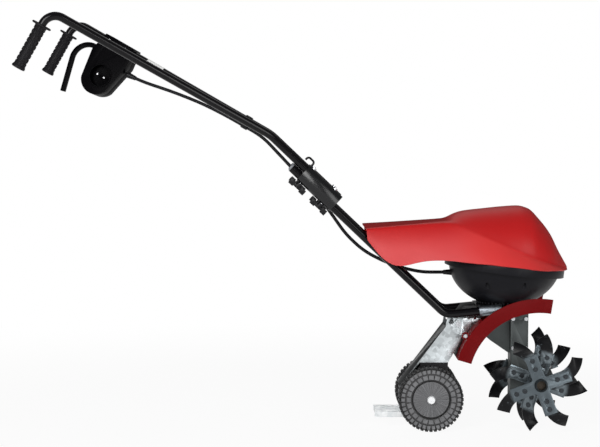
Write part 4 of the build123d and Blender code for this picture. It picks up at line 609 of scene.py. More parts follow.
class Finish(Enum):
    """Every finish on the tiller."""

    HOOD = HoodPlastic("hood_red", (0.55, 0.012, 0.013), 0.42)
    FENDER = Moulded(
        "fender_red", (0.14, 0.0035, 0.0045), 0.42,
        gloss=0.05, grain=(900.0, 2.0), depth=0.02 * MM,
    )
    BOWL = Moulded("bowl_black", (0.006, 0.006, 0.008), 0.42, gloss=0.12)
    CASE = Moulded("case_black", (0.0016, 0.0014, 0.002), 0.4, gloss=0.025)
    CLAMP = Moulded("clamp_black", (0.005, 0.005, 0.006), 0.38, gloss=0.2)
    SLEEVE = Moulded("sleeve_black", (0.004, 0.0042, 0.005), 0.27, gloss=0.4)
    CAP = Moulded("tube_cap_grey", (0.22, 0.23, 0.25), 0.4)
    PAPER = Moulded(
        "bare_strip_white", (0.78, 0.78, 0.77), 0.5, tones=(0.96, 1.04), grain=(900.0, 2.0)
    )
    WHEEL = WheelPlastic("wheel_black", (0.1, 0.101, 0.105), 0.45)
    GRIP = Rubber("grip_rubber", (0.005, 0.0045, 0.0054), 0.5)
    CABLE = Rubber("cable_rubber", (0.004, 0.004, 0.005), 0.45, pebble=3000.0)
    TUBE = PowderCoat("tube_black", (0.003, 0.0026, 0.0034), 0.1)
    PLATE = TineSteel(
        "tine_plate_grey", (0.1, 0.12, 0.133), 0.34, (0.01, 0.01, 0.011), 150.0 * MM, 15.2 * MM
    )
    BLADE = TineSteel(
        "tine_blade_black", (0.15, 0.175, 0.19), 0.32, (0.005, 0.005, 0.006), 72.0 * MM
    )
    # the hanger's top, under the tubes and hood, is darkened as painted shade
    ZINC = ZincPlate("zinc_plate", (0.62, 0.66, 0.68), 0.34, contrast=0.3, painted_shade_above=262.0 * MM)
    # the bracket's inner web is darkened as painted shade
    BRACKET = ZincPlate(
        "bracket_zinc", (0.5, 0.535, 0.55), 0.34,
        contrast=0.4, painted_shade_within=41.4 * MM, painted_shade_tone=0.16,
    )
    PEDAL = ZincPlate("pedal_zinc", (0.8, 0.86, 0.88), 0.36, draw=(14.0, 1.0, 1.0), metal=0.7)
    SOCKET = ZincPlate("socket_zinc", (0.25, 0.28, 0.31), 0.42, spangle=240.0, contrast=0.5)
    RIVET = ZincPlate("rivet_dark", (0.045, 0.05, 0.055), 0.3, spangle=400.0)
    BOLT = ZincPlate("bolt_zinc", (0.55, 0.56, 0.58), 0.28, spangle=400.0)
    STEEL = ZincPlate(
        "ground_steel", (0.5, 0.5, 0.52), 0.24, spangle=900.0, draw=(1.0, 20.0, 1.0), contrast=0.12
    )
    AXLE_END = ZincPlate("axle_end_dull", (0.05, 0.042, 0.034), 0.5, spangle=900.0, contrast=0.4)
    WHEEL_CAP = ZincPlate(
        "wheel_cap_bright", (0.86, 0.87, 0.88), 0.3, spangle=900.0, contrast=0.06, metal=0.4
    )
    PIN = ZincPlate("inlet_pin", (0.4, 0.4, 0.41), 0.3, spangle=900.0, contrast=0.08)
    CAST = CastMetal("gearbox_cast", (0.075, 0.083, 0.083), 0.42)
    IRON = CastMetal("motor_iron", (0.13, 0.13, 0.14), 0.5)
    BRONZE = CastMetal("bronze", (0.5, 0.32, 0.12), 0.3)

    def material(self) -> Material:
        """The finish's material, made once."""
        found = bpy.data.materials.get(f"finish_{self.value.name}")
        return found or self.value.make()


def pair(name: str) -> tuple[str, ...]:
    """Names of the right and the left one of two nodes."""
    return tuple(name.format(side) for side in Side)


NODE_FINISH: dict[Finish, tuple[str, ...]] = {
    Finish.HOOD: ("hood",),
    Finish.FENDER: ("fender",),
    Finish.BOWL: ("motor_bowl",),
    Finish.CASE: ("switch_case", "switch_cover", "trigger_lever", "power_switch"),
    Finish.CLAMP: (
        *pair("clamp_{}"), *pair("knob_{}_front"), *pair("knob_{}_rear"),
        "axle_carrier", "cable_clip", "cable_glands", "cooling_fan",
    ),
    Finish.WHEEL: pair("wheel_{}"),
    Finish.GRIP: pair("grip_{}"),
    Finish.CABLE: ("motor_cable",),
    # the mount plate takes the black tube coat as painted shade, where it sits in shade between the
    # tubes
    Finish.TUBE: (*pair("lower_tube_{}"), *pair("upper_tube_{}"), "cord_hook", "mount_plate"),
    Finish.PLATE: pair("tine_hubs_{}"),
    Finish.RIVET: ("tine_rivets",),
    Finish.BLADE: pair("tine_blades_{}"),
    Finish.ZINC: ("stand_hanger",),
    Finish.BRACKET: ("stand_bracket",),
    Finish.PEDAL: ("foot_pedal",),
    Finish.SOCKET: ("handle_sockets",),
    Finish.BOLT: (
        "gearbox_screws", "mount_bolts", "stand_pivot_bolt", "stand_stop_rod", "stand_bolts",
        "clamp_bolts", "hood_screws", "switch_screws", "hub_pins",
    ),
    Finish.STEEL: ("wheel_axle", "worm_shaft", "worm_bearings"),
    Finish.AXLE_END: ("tine_axle",),
    Finish.WHEEL_CAP: ("axle_caps",),
    Finish.PIN: ("inlet_pins",),
    Finish.CAST: pair("gearbox_{}_half"),
    Finish.IRON: ("motor_stator", "armature", "motor_end_bracket"),
    Finish.BRONZE: ("worm_wheel", "axle_bushes"),
    Finish.CAP: ("lower_tube_caps",),
}


def placed(name: str, data: bpy.types.ID) -> bpy.types.Object:
    """Put data into the scene.

    Args:
        name: Name of the object.
        data: Mesh, lamp or camera.

    Returns:
        The new object.
    """
    thing = bpy.data.objects.new(name, data)
    bpy.context.scene.collection.objects.link(thing)
    return thing


def meshed(name: str, work: BMesh) -> Mesh:
    """Turn finished work into a mesh and free it.

    Args:
        name: Name of the mesh.
        work: The work.

    Returns:
        The mesh.
    """
    mesh = bpy.data.meshes.new(name)
    work.to_mesh(mesh)
    work.free()
    return mesh


def baked(carrier: bpy.types.Object) -> Mesh:
    """Take the plain mesh that an object's modifiers give, and remove the object.

    Args:
        carrier: Object with modifiers.

    Returns:
        The mesh, without modifiers.
    """
    ready = carrier.evaluated_get(bpy.context.evaluated_depsgraph_get())
    mesh = bpy.data.meshes.new_from_object(ready)
    bpy.data.objects.remove(carrier)
    return mesh


def joined(meshes: Iterable[Mesh]) -> Mesh:
    """Join meshes into one.

    Args:
        meshes: Meshes in one frame.

    Returns:
        The whole.
    """
    work = bmesh.new()
    for mesh in meshes:
        work.from_mesh(mesh)
    return meshed("joined", work)


def dress(mesh: Mesh, finish: Finish) -> None:
    """Give a mesh one finish and no other."""
    mesh.materials.clear()
    mesh.materials.append(finish.material())


def show(
    name: str, mesh: Mesh, finish: Finish, body: str, node: str | None = None
) -> None:
    """Put a finished mesh on its body.

    Args:
        name: Name of the piece.
        mesh: Its mesh.
        finish: Its finish.
        body: Body that it moves with.
        node: CAD node that it stands for, if any.
    """
    dress(mesh, finish)
    piece = placed(name, mesh)
    if node is not None:
        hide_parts(node)
    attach(piece, body)
    log.info("%s: %d faces on %s", name, len(mesh.polygons), body)


def soft_block(size: Spot, bevel: float) -> Mesh:
    """A small moulded block.

    Args:
        size: Edges in metres.
        bevel: Rounding of its edges.

    Returns:
        The mesh, centred at the origin.
    """
    work = bmesh.new()
    bmesh.ops.create_cube(work, size=1.0)
    bmesh.ops.scale(work, vec=size, verts=work.verts)
    bmesh.ops.bevel(
        work, geom=work.edges, offset=bevel, segments=1, affect="EDGES", clamp_overlap=True
    )
    return meshed("block", work)


def band(work: BMesh, here: Row, after: Row, closed: bool) -> None:
    """Lay faces between two rows of points.

    Args:
        work: Mesh of the points.
        here: One row.
        after: The next row, with as many points.
        closed: Whether the rows run back to their start.
    """
    count = len(here)
    for corner in range(count if closed else count - 1):
        following = (corner + 1) % count
        work.faces.new((here[corner], after[corner], after[following], here[following]))


def lathe(profile: Sequence[Pair], place: Matrix, segments: int) -> Mesh:
    """Turn a closed outline round an axis.

    Args:
        profile: Radius and height of each corner, in order round the outline.
        place: Frame whose Z is the axis.
        segments: Steps round the axis.

    Returns:
        A closed mesh with smooth faces.
    """
    work = bmesh.new()
    rings = []
    for step in range(segments):
        angle = math.tau * step / segments
        x, y = math.cos(angle), math.sin(angle)
        rings.append([work.verts.new(place @ Vector((r * x, r * y, z))) for r, z in profile])
    for here, after in zip(rings, [*rings[1:], rings[0]]):
        band(work, here, after, closed=True)
    for face in work.faces:
        face.smooth = True
    bmesh.ops.recalc_face_normals(work, faces=work.faces)
    mesh = meshed("lathe", work)
    mesh.set_sharp_from_angle(angle=math.radians(SHARP_DEG))
    return mesh


def axis_frame(origin: Vector, along: Sequence[float]) -> Matrix:
    """Frame at a point whose Z runs along a direction."""
    turn = Vector(along).to_track_quat("Z", "Y").to_matrix().to_4x4()
    return Matrix.Translation(origin) @ turn


class StackTree:
    """Geometry nodes that repeat a mesh in rings, row after row along an axis."""

    INPUTS = {
        "Geometry": "Geometry", "Count": "Int", "Radius": "Float", "Rows": "Int", "Step": "Float",
        "Stagger": "Float", "Centre": "Vector", "Turn": "Vector", "Material": "Material",
    }

    def __init__(self) -> None:
        """Build the tree with its named inputs."""
        self.tree = bpy.data.node_groups.new("ring_stack", "GeometryNodeTree")
        face = self.tree.interface
        self.keys = {
            name: face.new_socket(name, in_out="INPUT", socket_type=f"NodeSocket{kind}").identifier
            for name, kind in self.INPUTS.items()
        }
        face.new_socket("Geometry", in_out="OUTPUT", socket_type="NodeSocketGeometry")
        bench = Bench(self.tree)
        add, given = bench.add, self.tree.nodes.new("NodeGroupInput").outputs
        block, count, radius, rows, step, stagger, centre, turn, material = (
            Wire(bench, given[name]) for name in self.INPUTS
        )
        spread, facing = "GeometryNodeInstanceOnPoints", {"axis": "X", "pivot_axis": "Z"}
        circle = add("GeometryNodeMeshCircle", None, {"Vertices": count, "Radius": radius})
        spot = add("GeometryNodeInputPosition")
        aim = add("FunctionNodeAlignRotationToVector", facing, {"Vector": spot})
        ring = add(spread, None, {"Points": circle, "Instance": block, "Rotation": aim})
        offset = add("ShaderNodeCombineXYZ", None, {"Z": step})
        line = add("GeometryNodeMeshLine", None, {"Count": rows, "Offset": offset})
        phase = add("GeometryNodeInputIndex") * stagger
        spin = add("ShaderNodeCombineXYZ", None, {"Z": phase})
        stack = add(spread, None, {"Points": line, "Instance": ring, "Rotation": spin})
        moves = {"Geometry": stack, "Translation": centre, "Rotation": turn}
        moved = add("GeometryNodeTransform", None, moves)
        whole = add("GeometryNodeRealizeInstances", None, {"Geometry": moved})
        dressed = add("GeometryNodeSetMaterial", None, {"Geometry": whole, "Material": material})
        out = self.tree.nodes.new("NodeGroupOutput")
        self.tree.links.new(dressed.socket, out.inputs["Geometry"])

    def bake(
        self,
        block: Mesh,
        finish: Finish,
        place: Matrix,
        count: int,
        radius: float,
        rows: int = 1,
        step: float = 0.0,
        stagger: float = 0.0,
    ) -> Mesh:
        """Repeat a block.

        Args:
            block: Mesh to repeat, X outwards and Z along the axis.
            finish: Its finish.
            place: Frame of the first ring, whose Z is the axis.
            count: Blocks in a ring.
            radius: Radius of the rings.
            rows: Number of rings.
            step: Distance from ring to ring.
            stagger: Turn from ring to ring.

        Returns:
            One realized mesh.
        """
        carrier = placed("pattern", block)
        modifier = carrier.modifiers.new("stack", "NODES")
        modifier.node_group = self.tree
        values = {
            "Count": count, "Radius": radius, "Rows": rows, "Step": step, "Stagger": stagger,
            "Centre": place.translation, "Turn": place.to_euler(), "Material": finish.material(),
        }
        for name, value in values.items():
            modifier[self.keys[name]] = value
        return baked(carrier)


@dataclass(frozen=True)
class BlockRing:
    """A ring of equal blocks on each face of a wheel."""

    size: Spot
    bevel: float
    count: int
    reach: float
    sink: float


@dataclass
class RoadWheel:
    """Moulded wheel: tyre with two rings of wall blocks, tread lugs and a ribbed dish."""

    side: Side
    stack: StackTree
    segments: int = 144
    lugs: int = 44
    lug_rise: float = 2.2 * MM
    lug_long: float = 7.2 * MM
    lug_bevel: float = 0.7 * MM
    lug_share: float = 0.62
    lug_shift: float = 0.52
    rings: tuple[BlockRing, ...] = (
        BlockRing((8.6 * MM, 7.6 * MM, 2.4 * MM), 0.6 * MM, 38, 65.6 * MM, 1.4 * MM),
        BlockRing((10.0 * MM, 11.4 * MM, 2.2 * MM), 0.6 * MM, 24, 52.4 * MM, 1.3 * MM),
        BlockRing(
            (WHEEL_DISH_R - 16.0 * MM, 1.2 * MM, 1.6 * MM), 0.4 * MM,
            40, (WHEEL_DISH_R + 12.0 * MM) / 2, 4.6 * MM,
        ),
    )
    # radius and depth below the face, in millimetres, from the bore to the edge of the tread
    wall: tuple[Pair, ...] = (
        (5.3, 4.0), (10.5, 4.0), (41.7, 5.2), (42.3, 9.0), (44.7, 9.0), (45.5, 2.6), (48.0, 1.4),
        (58.0, 1.2), (66.0, 1.8), (70.5, 4.0), (73.2, 7.0), (73.8, 10.0),
    )

    def build(self) -> None:
        """Model the wheel in the place of its CAD node."""
        node = f"wheel_{self.side}"
        low, high = (Vector(corner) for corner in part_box(node))
        centre = (low + high) / 2
        half = (high.y - low.y) / 2
        upper = [(r * MM, half - deep * MM) for r, deep in self.wall]
        outline = upper + [(r, -y) for r, y in reversed(upper)]
        parts = [lathe(outline, axis_frame(centre, ACROSS), self.segments)]
        lug = soft_block((2 * self.lug_rise, self.lug_long, half * self.lug_share), self.lug_bevel)
        shift, tread, stagger = half * self.lug_shift, upper[-1][0], math.pi / self.lugs
        place = self._across(centre - ACROSS * shift)
        rows = (2, 2 * shift, stagger)
        parts.append(self.stack.bake(lug, Finish.WHEEL, place, self.lugs, tread, *rows))
        for face in (-1.0, 1.0):
            for ring in self.rings:
                block = soft_block(ring.size, ring.bevel)
                place = self._across(centre + ACROSS * (face * (half - ring.sink)))
                blocks = self.stack.bake(block, Finish.WHEEL, place, ring.count, ring.reach)
                parts.append(blocks)
        whole = joined(parts)
        show(f"{node}_moulding", whole, Finish.WHEEL, f"{self.side}_wheel", node)

    @staticmethod
    def _across(middle: Vector) -> Matrix:
        """Frame at a point of the axle, X forwards and Z along the axle."""
        return Matrix.Translation(middle) @ Matrix.Rotation(math.radians(-90.0), 4, "X")


@dataclass
class Grip:
    """Ribbed rubber grip with a thin hand guard and a rolled end."""

    side: Side
    stack: StackTree
    along: Spot = (-0.49546, 0.0, -0.86863)
    start: float = 35.0 * MM
    segments: int = 72
    core_r: float = 12.4 * MM
    pad: Pair = (2.6 * MM, 4.4 * MM)
    pad_share: float = 0.78
    pad_bevel: float = 0.8 * MM
    pads_from: float = 10.0 * MM
    pads_run: float = 89.0 * MM
    rows: int = 9
    around: int = 11
    # radius and run from the face of the guard, in millimetres
    profile: tuple[Pair, ...] = (
        (9.6, 0.0), (21.0, 0.0), (22.6, 1.0), (23.0, 2.4), (22.4, 4.0), (20.6, 4.8), (14.4, 5.4),
        (12.4, 8.0), (12.4, 101.0), (14.6, 104.0), (15.8, 107.0), (15.4, 110.0), (13.8, 111.0),
        (9.6, 111.0),
    )

    def build(self) -> None:
        """Model the grip in the place of its CAD node."""
        x, y, z = HANDLE_BEND
        top = Vector((x, self.side.sign * y, z)) + Vector(self.along) * self.start
        place = axis_frame(top, self.along)
        step = self.pads_run / (self.rows - 1)
        pad = soft_block((*self.pad, step * self.pad_share), self.pad_bevel)
        first = place @ Matrix.Translation((0.0, 0.0, self.pads_from))
        rows = (self.rows, step, math.pi / self.around)
        pads = self.stack.bake(pad, Finish.GRIP, first, self.around, self.core_r, *rows)
        sleeve = lathe([(r * MM, run * MM) for r, run in self.profile], place, self.segments)
        node = f"grip_{self.side}"
        show(f"{node}_rubber", joined([sleeve, pads]), Finish.GRIP, "frame", node)


@dataclass(frozen=True)
class SoftEdge:
    """A CAD node shown with rounded edges, as a moulding, casting or pressing has them."""

    node: str
    body: str
    slot: str
    finish: Finish
    width: float
    segments: int = 2
    corner_deg: float = 32.0
    flat_deg: float = 0.25
    wall: float = 0.0

    def build(self) -> None:
        """Copy the node, round its edges and show the copy instead."""
        work = self.source()
        for face in work.faces:
            face.smooth = True
        carrier = placed("edges", meshed(self.node, work))
        if self.wall:
            shell = carrier.modifiers.new("wall", "SOLIDIFY")
            shell.thickness = self.wall
            shell.offset = -1.0
            shell.use_even_offset = True
        bevel = carrier.modifiers.new("edges", "BEVEL")
        bevel.width = self.width
        bevel.segments = self.segments
        bevel.limit_method = "ANGLE"
        bevel.angle_limit = math.radians(self.corner_deg)
        bevel.harden_normals = True
        bevel.use_clamp_overlap = True
        soft = baked(carrier)
        show(f"{self.node}_soft", soft, self.finish, self.body, self.node)

    def source(self) -> BMesh:
        """The node's faces with flat areas in one piece.

        Returns:
            A copy to work on.
        """
        work = bmesh.new()
        work.from_mesh(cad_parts[self.node].data)
        bmesh.ops.remove_doubles(work, verts=work.verts, dist=WELD)
        flat = math.radians(self.flat_deg)
        bmesh.ops.dissolve_limit(work, angle_limit=flat, verts=work.verts, edges=work.edges)
        return work


@dataclass(frozen=True)
class RoundClamp(SoftEdge):
    """Clamp sleeve whose flat sides are drawn out to an oval."""

    half_wide: float = 16.0 * MM
    slices: int = 10
    skin: float = 0.05 * MM

    def source(self) -> BMesh:
        """The sleeve with its sides cut into strips that follow the oval.

        Returns:
            A copy to work on.
        """
        work = super().source()
        upper = Vector(CLAMP_RUN).cross(ACROSS)
        levels = [vert.co.dot(upper) for vert in work.verts]
        sides = [vert.co.y for vert in work.verts]
        middle, half = (max(levels) + min(levels)) / 2, (max(levels) - min(levels)) / 2
        centre, radius = (max(sides) + min(sides)) / 2, (max(sides) - min(sides)) / 2
        for cut in range(1, self.slices):
            spot = upper * (middle + (half - radius) * (2 * cut / self.slices - 1))
            geom = [*work.verts, *work.edges, *work.faces]
            bmesh.ops.bisect_plane(work, geom=geom, dist=CUT_SLACK, plane_co=spot, plane_no=upper)
        for vert in work.verts:
            over, out = vert.co.dot(upper) - middle, vert.co.y - centre
            if math.hypot(max(0.0, abs(over) - half + radius), out) > radius - self.skin:
                oval = self.half_wide * math.sqrt(max(0.0, 1.0 - (over / half) ** 2))
                vert.co.y = centre + math.copysign(max(abs(out), oval), out)
        return work


@dataclass(frozen=True)
class WingKnob(SoftEdge):
    """Wing knob with a square pad at the end of each wing."""

    pad: float = 13.0 * MM
    spread: float = 16.0 * MM
    bar_level: float = 3.5 * MM

    def source(self) -> BMesh:
        """The knob with its pads.

        Returns:
            A copy to work on.
        """
        work = super().source()
        run = Vector(CLAMP_RUN)
        turn = Matrix((ACROSS, run, ACROSS.cross(run))).transposed()
        ends = [turn.transposed() @ vert.co for vert in work.verts]
        low, high = (
            Vector(pick(spot[axis] for spot in ends) for axis in range(3)) for pick in (min, max)
        )
        middle = (low + high) / 2
        for wing in (-1.0, 1.0):
            spot = Vector((middle.x, middle.y + wing * self.spread, low.z + self.bar_level))
            place = Matrix.Translation(turn @ spot) @ turn.to_4x4()
            bmesh.ops.create_cube(work, size=self.pad, matrix=place)
        return work


class Glide:
    """Smooth curves through the rows of a table, without overshoot between the rows."""

    def __init__(self, rows: Sequence[tuple[float, ...]]) -> None:
        """Find the slope of every curve at every row.

        Args:
            rows: Position and values, in order of position.
        """
        self.rows = rows
        steps = [
            [(b - a) / (after[0] - row[0]) for a, b in zip(row[1:], after[1:])]
            for row, after in zip(rows, rows[1:])
        ]
        inner = [
            [2 * a * b / (a + b) if a * b > 0 else 0.0 for a, b in zip(before, after)]
            for before, after in zip(steps, steps[1:])
        ]
        self.slopes = [steps[0], *inner, steps[-1]]

    def at(self, place: float) -> list[float]:
        """Find the values at a position.

        Args:
            place: The position, held to the ends of the table.

        Returns:
            One value for each curve.
        """
        place = min(max(place, self.rows[0][0]), self.rows[-1][0])
        index = max(i for i, row in enumerate(self.rows[:-1]) if row[0] <= place)
        row, after = self.rows[index], self.rows[index + 1]
        span = after[0] - row[0]
        t = (place - row[0]) / span
        s = 1.0 - t
        return [
            s * s * (1 + 2 * t) * a + t * t * (1 + 2 * s) * b + span * t * s * (s * m - t * n)
            for a, b, m, n in zip(row[1:], after[1:], self.slopes[index], self.slopes[index + 1])
        ]


def smooth(value: float, low: float, high: float) -> float:
    """Smooth step from 0 at low to 1 at high."""
    share = min(1.0, max(0.0, (value - low) / (high - low)))
    return share * share * (3.0 - 2.0 * share)


@dataclass(frozen=True)
class HoodShell(SoftEdge):
    """Hood skin through cross sections in millimetres, its hem arched in front of the tubes."""

    # position along the machine, height of the crown, half width and height of the shoulder,
    # half width at the seam
    sections: tuple[tuple[float, ...], ...] = (
        (122.0, 482.5, 78.0, 474.0, 86.0), (238.0, 488.5, 76.0, 484.5, 104.0),
        (300.0, 492.5, 74.0, 489.0, 115.0), (322.0, 495.0, 74.5, 490.0, 119.0),
        (346.0, 507.0, 80.0, 486.0, 123.5), (362.0, 512.5, 85.0, 481.0, 126.5),
        (376.0, 515.0, 89.0, 475.0, 129.0), (412.0, 519.0, 99.5, 457.0, 136.0),
        (455.0, 523.5, 109.0, 438.0, 142.0), (495.0, 526.0, 108.0, 422.0, 139.0),
        (521.0, 519.5, 103.0, 411.5, 133.0), (548.0, 493.5, 91.0, 401.0, 119.0),
        (573.0, 460.5, 71.0, 392.5, 95.0), (593.0, 420.5, 47.0, 385.5, 67.0),
        (606.0, 397.5, 26.0, 380.5, 39.0), (614.0, 383.5, 10.5, 377.5, 16.0),
    )
    # position along the machine and height
    hem: tuple[Pair, ...] = (
        (139.5, 450.0), (150.0, 436.0), (166.0, 417.0), (180.0, 404.0), (197.0, 394.5),
        (208.0, 391.8), (220.0, 391.6), (235.0, 394.6), (250.0, 398.4), (265.0, 401.8),
        (285.0, 404.6), (308.0, 405.5), (331.0, 404.6), (356.0, 402.0), (375.0, 400.2),
        (395.0, 398.6), (418.2, 397.2), (440.0, 394.7), (480.0, 390.2), (540.0, 383.3),
        (614.0, 374.9),
    )
    # height of the seam at the origin, and its slope
    seam: Pair = (444.8, -0.1139)
    lean: float = 0.08
    rear_bow: float = 6.0
    upright_from: float = 340.0
    bulge: float = 0.05
    skirt_flare: float = 0.21
    columns: int = 150
    crowding: float = 1.5
    flare_rows: int = 22
    crown_rows: int = 26
    rounds: int = 4
    passes: int = 3

    def source(self) -> BMesh:
        """The skin as a regular net of faces.

        Returns:
            The net, open at the hem and at the rear.
        """
        sections, hem = Glide(self.sections), Glide(self.hem)
        tail, nose = self.hem[0][0], self.hem[-1][0]
        rows = range(self.flare_rows + self.crown_rows + 1)
        net = []
        for column in range(self.columns + 1):
            foot = tail + (nose - tail) * (1.0 - (1.0 - column / self.columns) ** self.crowding)
            low = hem.at(foot)[0]
            share = 1.0 - smooth(foot, tail, self.upright_from)
            net.append([self._spot(sections, foot, low, share, row) for row in rows])
        for _ in range(self.passes):
            net = [self._eased(line) for line in net]
            net = [list(line) for line in zip(*(self._eased(line) for line in zip(*net)))]
        return self._skin(net)

    def _spot(self, sections: Glide, foot: float, low: float, share: float, row: int) -> Vector:
        """One point of the right half, found in a few rounds where the column leans.

        Args:
            sections: The cross sections.
            foot: Position of the column at the hem.
            low: Height of the hem there.
            share: How much of the rear edge's lean and bow the column has.
            row: Count from the hem.

        Returns:
            The point.
        """
        x, y, z = foot, 0.0, low
        over = max(0.0, (row - self.flare_rows) / self.crown_rows)
        bow = self.rear_bow * math.sin(over * math.pi / 2)
        for _ in range(self.rounds):
            crown, shoulder, shoulder_z, width = sections.at(x)
            if row <= self.flare_rows:
                t = row / self.flare_rows
                tall = shoulder_z - low
                z = low + tall * t
                skirt = width + self.skirt_flare * (self.seam[0] + self.seam[1] * x - low)
                y = skirt + (shoulder - skirt) * t + self.bulge * tall * 4 * t * (1 - t)
            else:
                rise = crown - shoulder_z
                radius = (shoulder ** 2 + rise ** 2) / (2 * rise)
                middle = crown - radius
                first = math.atan2(shoulder_z - middle, shoulder)
                angle = first + (math.pi / 2 - first) * over
                y, z = radius * math.cos(angle), middle + radius * math.sin(angle)
            x = foot - share * (self.lean * (z - low) + bow)
        return Vector((x, -y, z))

    @staticmethod
    def _eased(line: Sequence[Vector]) -> list[Vector]:
        """The points of a line, each inner one drawn to the middle of its neighbours."""
        inner = [(a + b * 2 + c) / 4 for a, b, c in zip(line, line[1:], line[2:])]
        return [line[0], *inner, line[-1]]

    def _skin(self, net: list[list[Vector]]) -> BMesh:
        """Faces over both halves, closed at the nose.

        Args:
            net: Points of the right half, column by column from the rear.

        Returns:
            The skin in metres.
        """
        work = bmesh.new()
        flip = Vector((1.0, -1.0, 1.0))
        columns = []
        for line in net:
            line[-1].y = 0.0
            whole = [*line, *(spot * flip for spot in reversed(line[:-1]))]
            columns.append([work.verts.new(spot * MM) for spot in whole])
        for here, after in zip(columns, columns[1:]):
            band(work, here, after, closed=False)
        work.faces.new(columns[-1][::-1])
        return work


SOFT_EDGES: tuple[SoftEdge, ...] = (
    SoftEdge("switch_case", "frame", "black_plastic", Finish.CASE, 1.6 * MM, 3),
    SoftEdge("switch_cover", "frame", "black_plastic", Finish.CASE, 1.2 * MM, 3),
    SoftEdge("trigger_lever", "trigger", "black_plastic", Finish.CASE, 1.5 * MM),
    *(RoundClamp(n, "frame", "black_plastic", Finish.SLEEVE, 1.0 * MM) for n in pair("clamp_{}")),
    *(
        WingKnob(f"knob_{side}_{end}", f"{side}_{end}_knob", "knob_black", Finish.CLAMP, 1.6 * MM)
        for side in Side
        for end in ("front", "rear")
    ),
    SoftEdge("axle_carrier", "stand", "black_plastic", Finish.CLAMP, 1.6 * MM),
    SoftEdge("fender", "frame", "hood_red", Finish.FENDER, 0.9 * MM),
    SoftEdge("foot_pedal", "stand", "galvanised", Finish.PEDAL, 0.5 * MM),
    SoftEdge("stand_bracket", "stand", "galvanised", Finish.BRACKET, 0.6 * MM),
    SoftEdge("stand_hanger", "frame", "galvanised", Finish.ZINC, 0.6 * MM),
    SoftEdge("handle_sockets", "frame", "galvanised", Finish.SOCKET, 0.6 * MM),
    *(SoftEdge(n, "tines", "tine_plate", Finish.PLATE, 0.8 * MM) for n in pair("tine_hubs_{}")),
    *(SoftEdge(n, "tines", "tine_blade", Finish.BLADE, 0.7 * MM) for n in pair("tine_blades_{}")),
    *(SoftEdge(n, "frame", "gearbox_cast", Finish.CAST, 1.2 * MM) for n in pair("gearbox_{}_half")),
    SoftEdge("motor_bowl", "frame", "black_plastic", Finish.BOWL, 3.0 * MM, 3),
    HoodShell("hood", "frame", "hood_red", Finish.HOOD, 0.7 * MM, corner_deg=60.0, wall=3.0 * MM),
)


@dataclass
class BowlVents:
    """Ring of short vent ribs round the foot of the motor bowl."""

    stack: StackTree
    count: int = 44
    reach: float = 60.0 * MM
    size: Spot = (14.0 * MM, 3.2 * MM, 13.0 * MM)
    bevel: float = 0.7 * MM
    floor: float = 295.4 * MM
    axis_x: float = 468.2 * MM

    def build(self) -> None:
        """Stand the ribs on the mount plate against the bowl."""
        rib = soft_block(self.size, self.bevel)
        place = Matrix.Translation((self.axis_x, 0.0, self.floor + self.size[2] / 2))
        ring = self.stack.bake(rib, Finish.BOWL, place, self.count, self.reach)
        show("bowl_vent_ribs", ring, Finish.BOWL, "frame")


@dataclass
class BareStrip:
    """Bare white strip stuck on the far upper tube."""

    along: Spot = (0.83782, -0.26399, -0.47788)
    near_end: float = 216.0 * MM
    far_end: float = 263.0 * MM
    radius: float = 9.5 * MM
    skin: float = 0.35 * MM
    middle_deg: float = 40.0
    spread_deg: float = 150.0
    steps: int = 20

    def build(self) -> None:
        """Wrap the strip round the tube."""
        axis = Vector(self.along).normalized()
        front = (axis * axis.dot(ACROSS) - ACROSS).normalized()
        upper = front.cross(axis)
        upper = upper if upper.z > 0 else -upper
        angles = [
            math.radians(self.middle_deg + self.spread_deg * (step / self.steps - 0.5))
            for step in range(self.steps + 1)
        ]
        outer = [(self.radius + self.skin, angle) for angle in angles]
        inner = [(self.radius, angle) for angle in reversed(angles)]
        work = bmesh.new()
        ends = []
        for run in (self.near_end, self.far_end):
            middle = Vector(HANDLE_BEND) + axis * run
            spots = (
                middle + front * (math.cos(angle) * reach) + upper * (math.sin(angle) * reach)
                for reach, angle in outer + inner
            )
            ends.append([work.verts.new(spot) for spot in spots])
        band(work, *ends, closed=True)
        for ring in ends:
            band(work, ring[: len(outer)], ring[: len(outer) - 1 : -1], closed=False)
        bmesh.ops.recalc_face_normals(work, faces=work.faces)
        strip = meshed("strip", work)
        show("upper_tube_bare_strip", strip, Finish.PAPER, "frame")


@dataclass(frozen=True)
class Lamp:
    """Square soft lamp that looks at the tiller; its edge in metres, its power in watts."""

    name: str
    place: Spot
    edge: float
    power: float
    target: Spot = (0.1, 0.0, 0.4)

    def build(self) -> None:
        """Hang the lamp."""
        data = bpy.data.lights.new(self.name, "AREA")
        data.size = self.edge
        data.energy = self.power
        lamp = placed(self.name, data)
        lamp.location = self.place
        aim = Vector(self.target) - Vector(self.place)
        lamp.rotation_euler = aim.to_track_quat("-Z", "Y").to_euler()


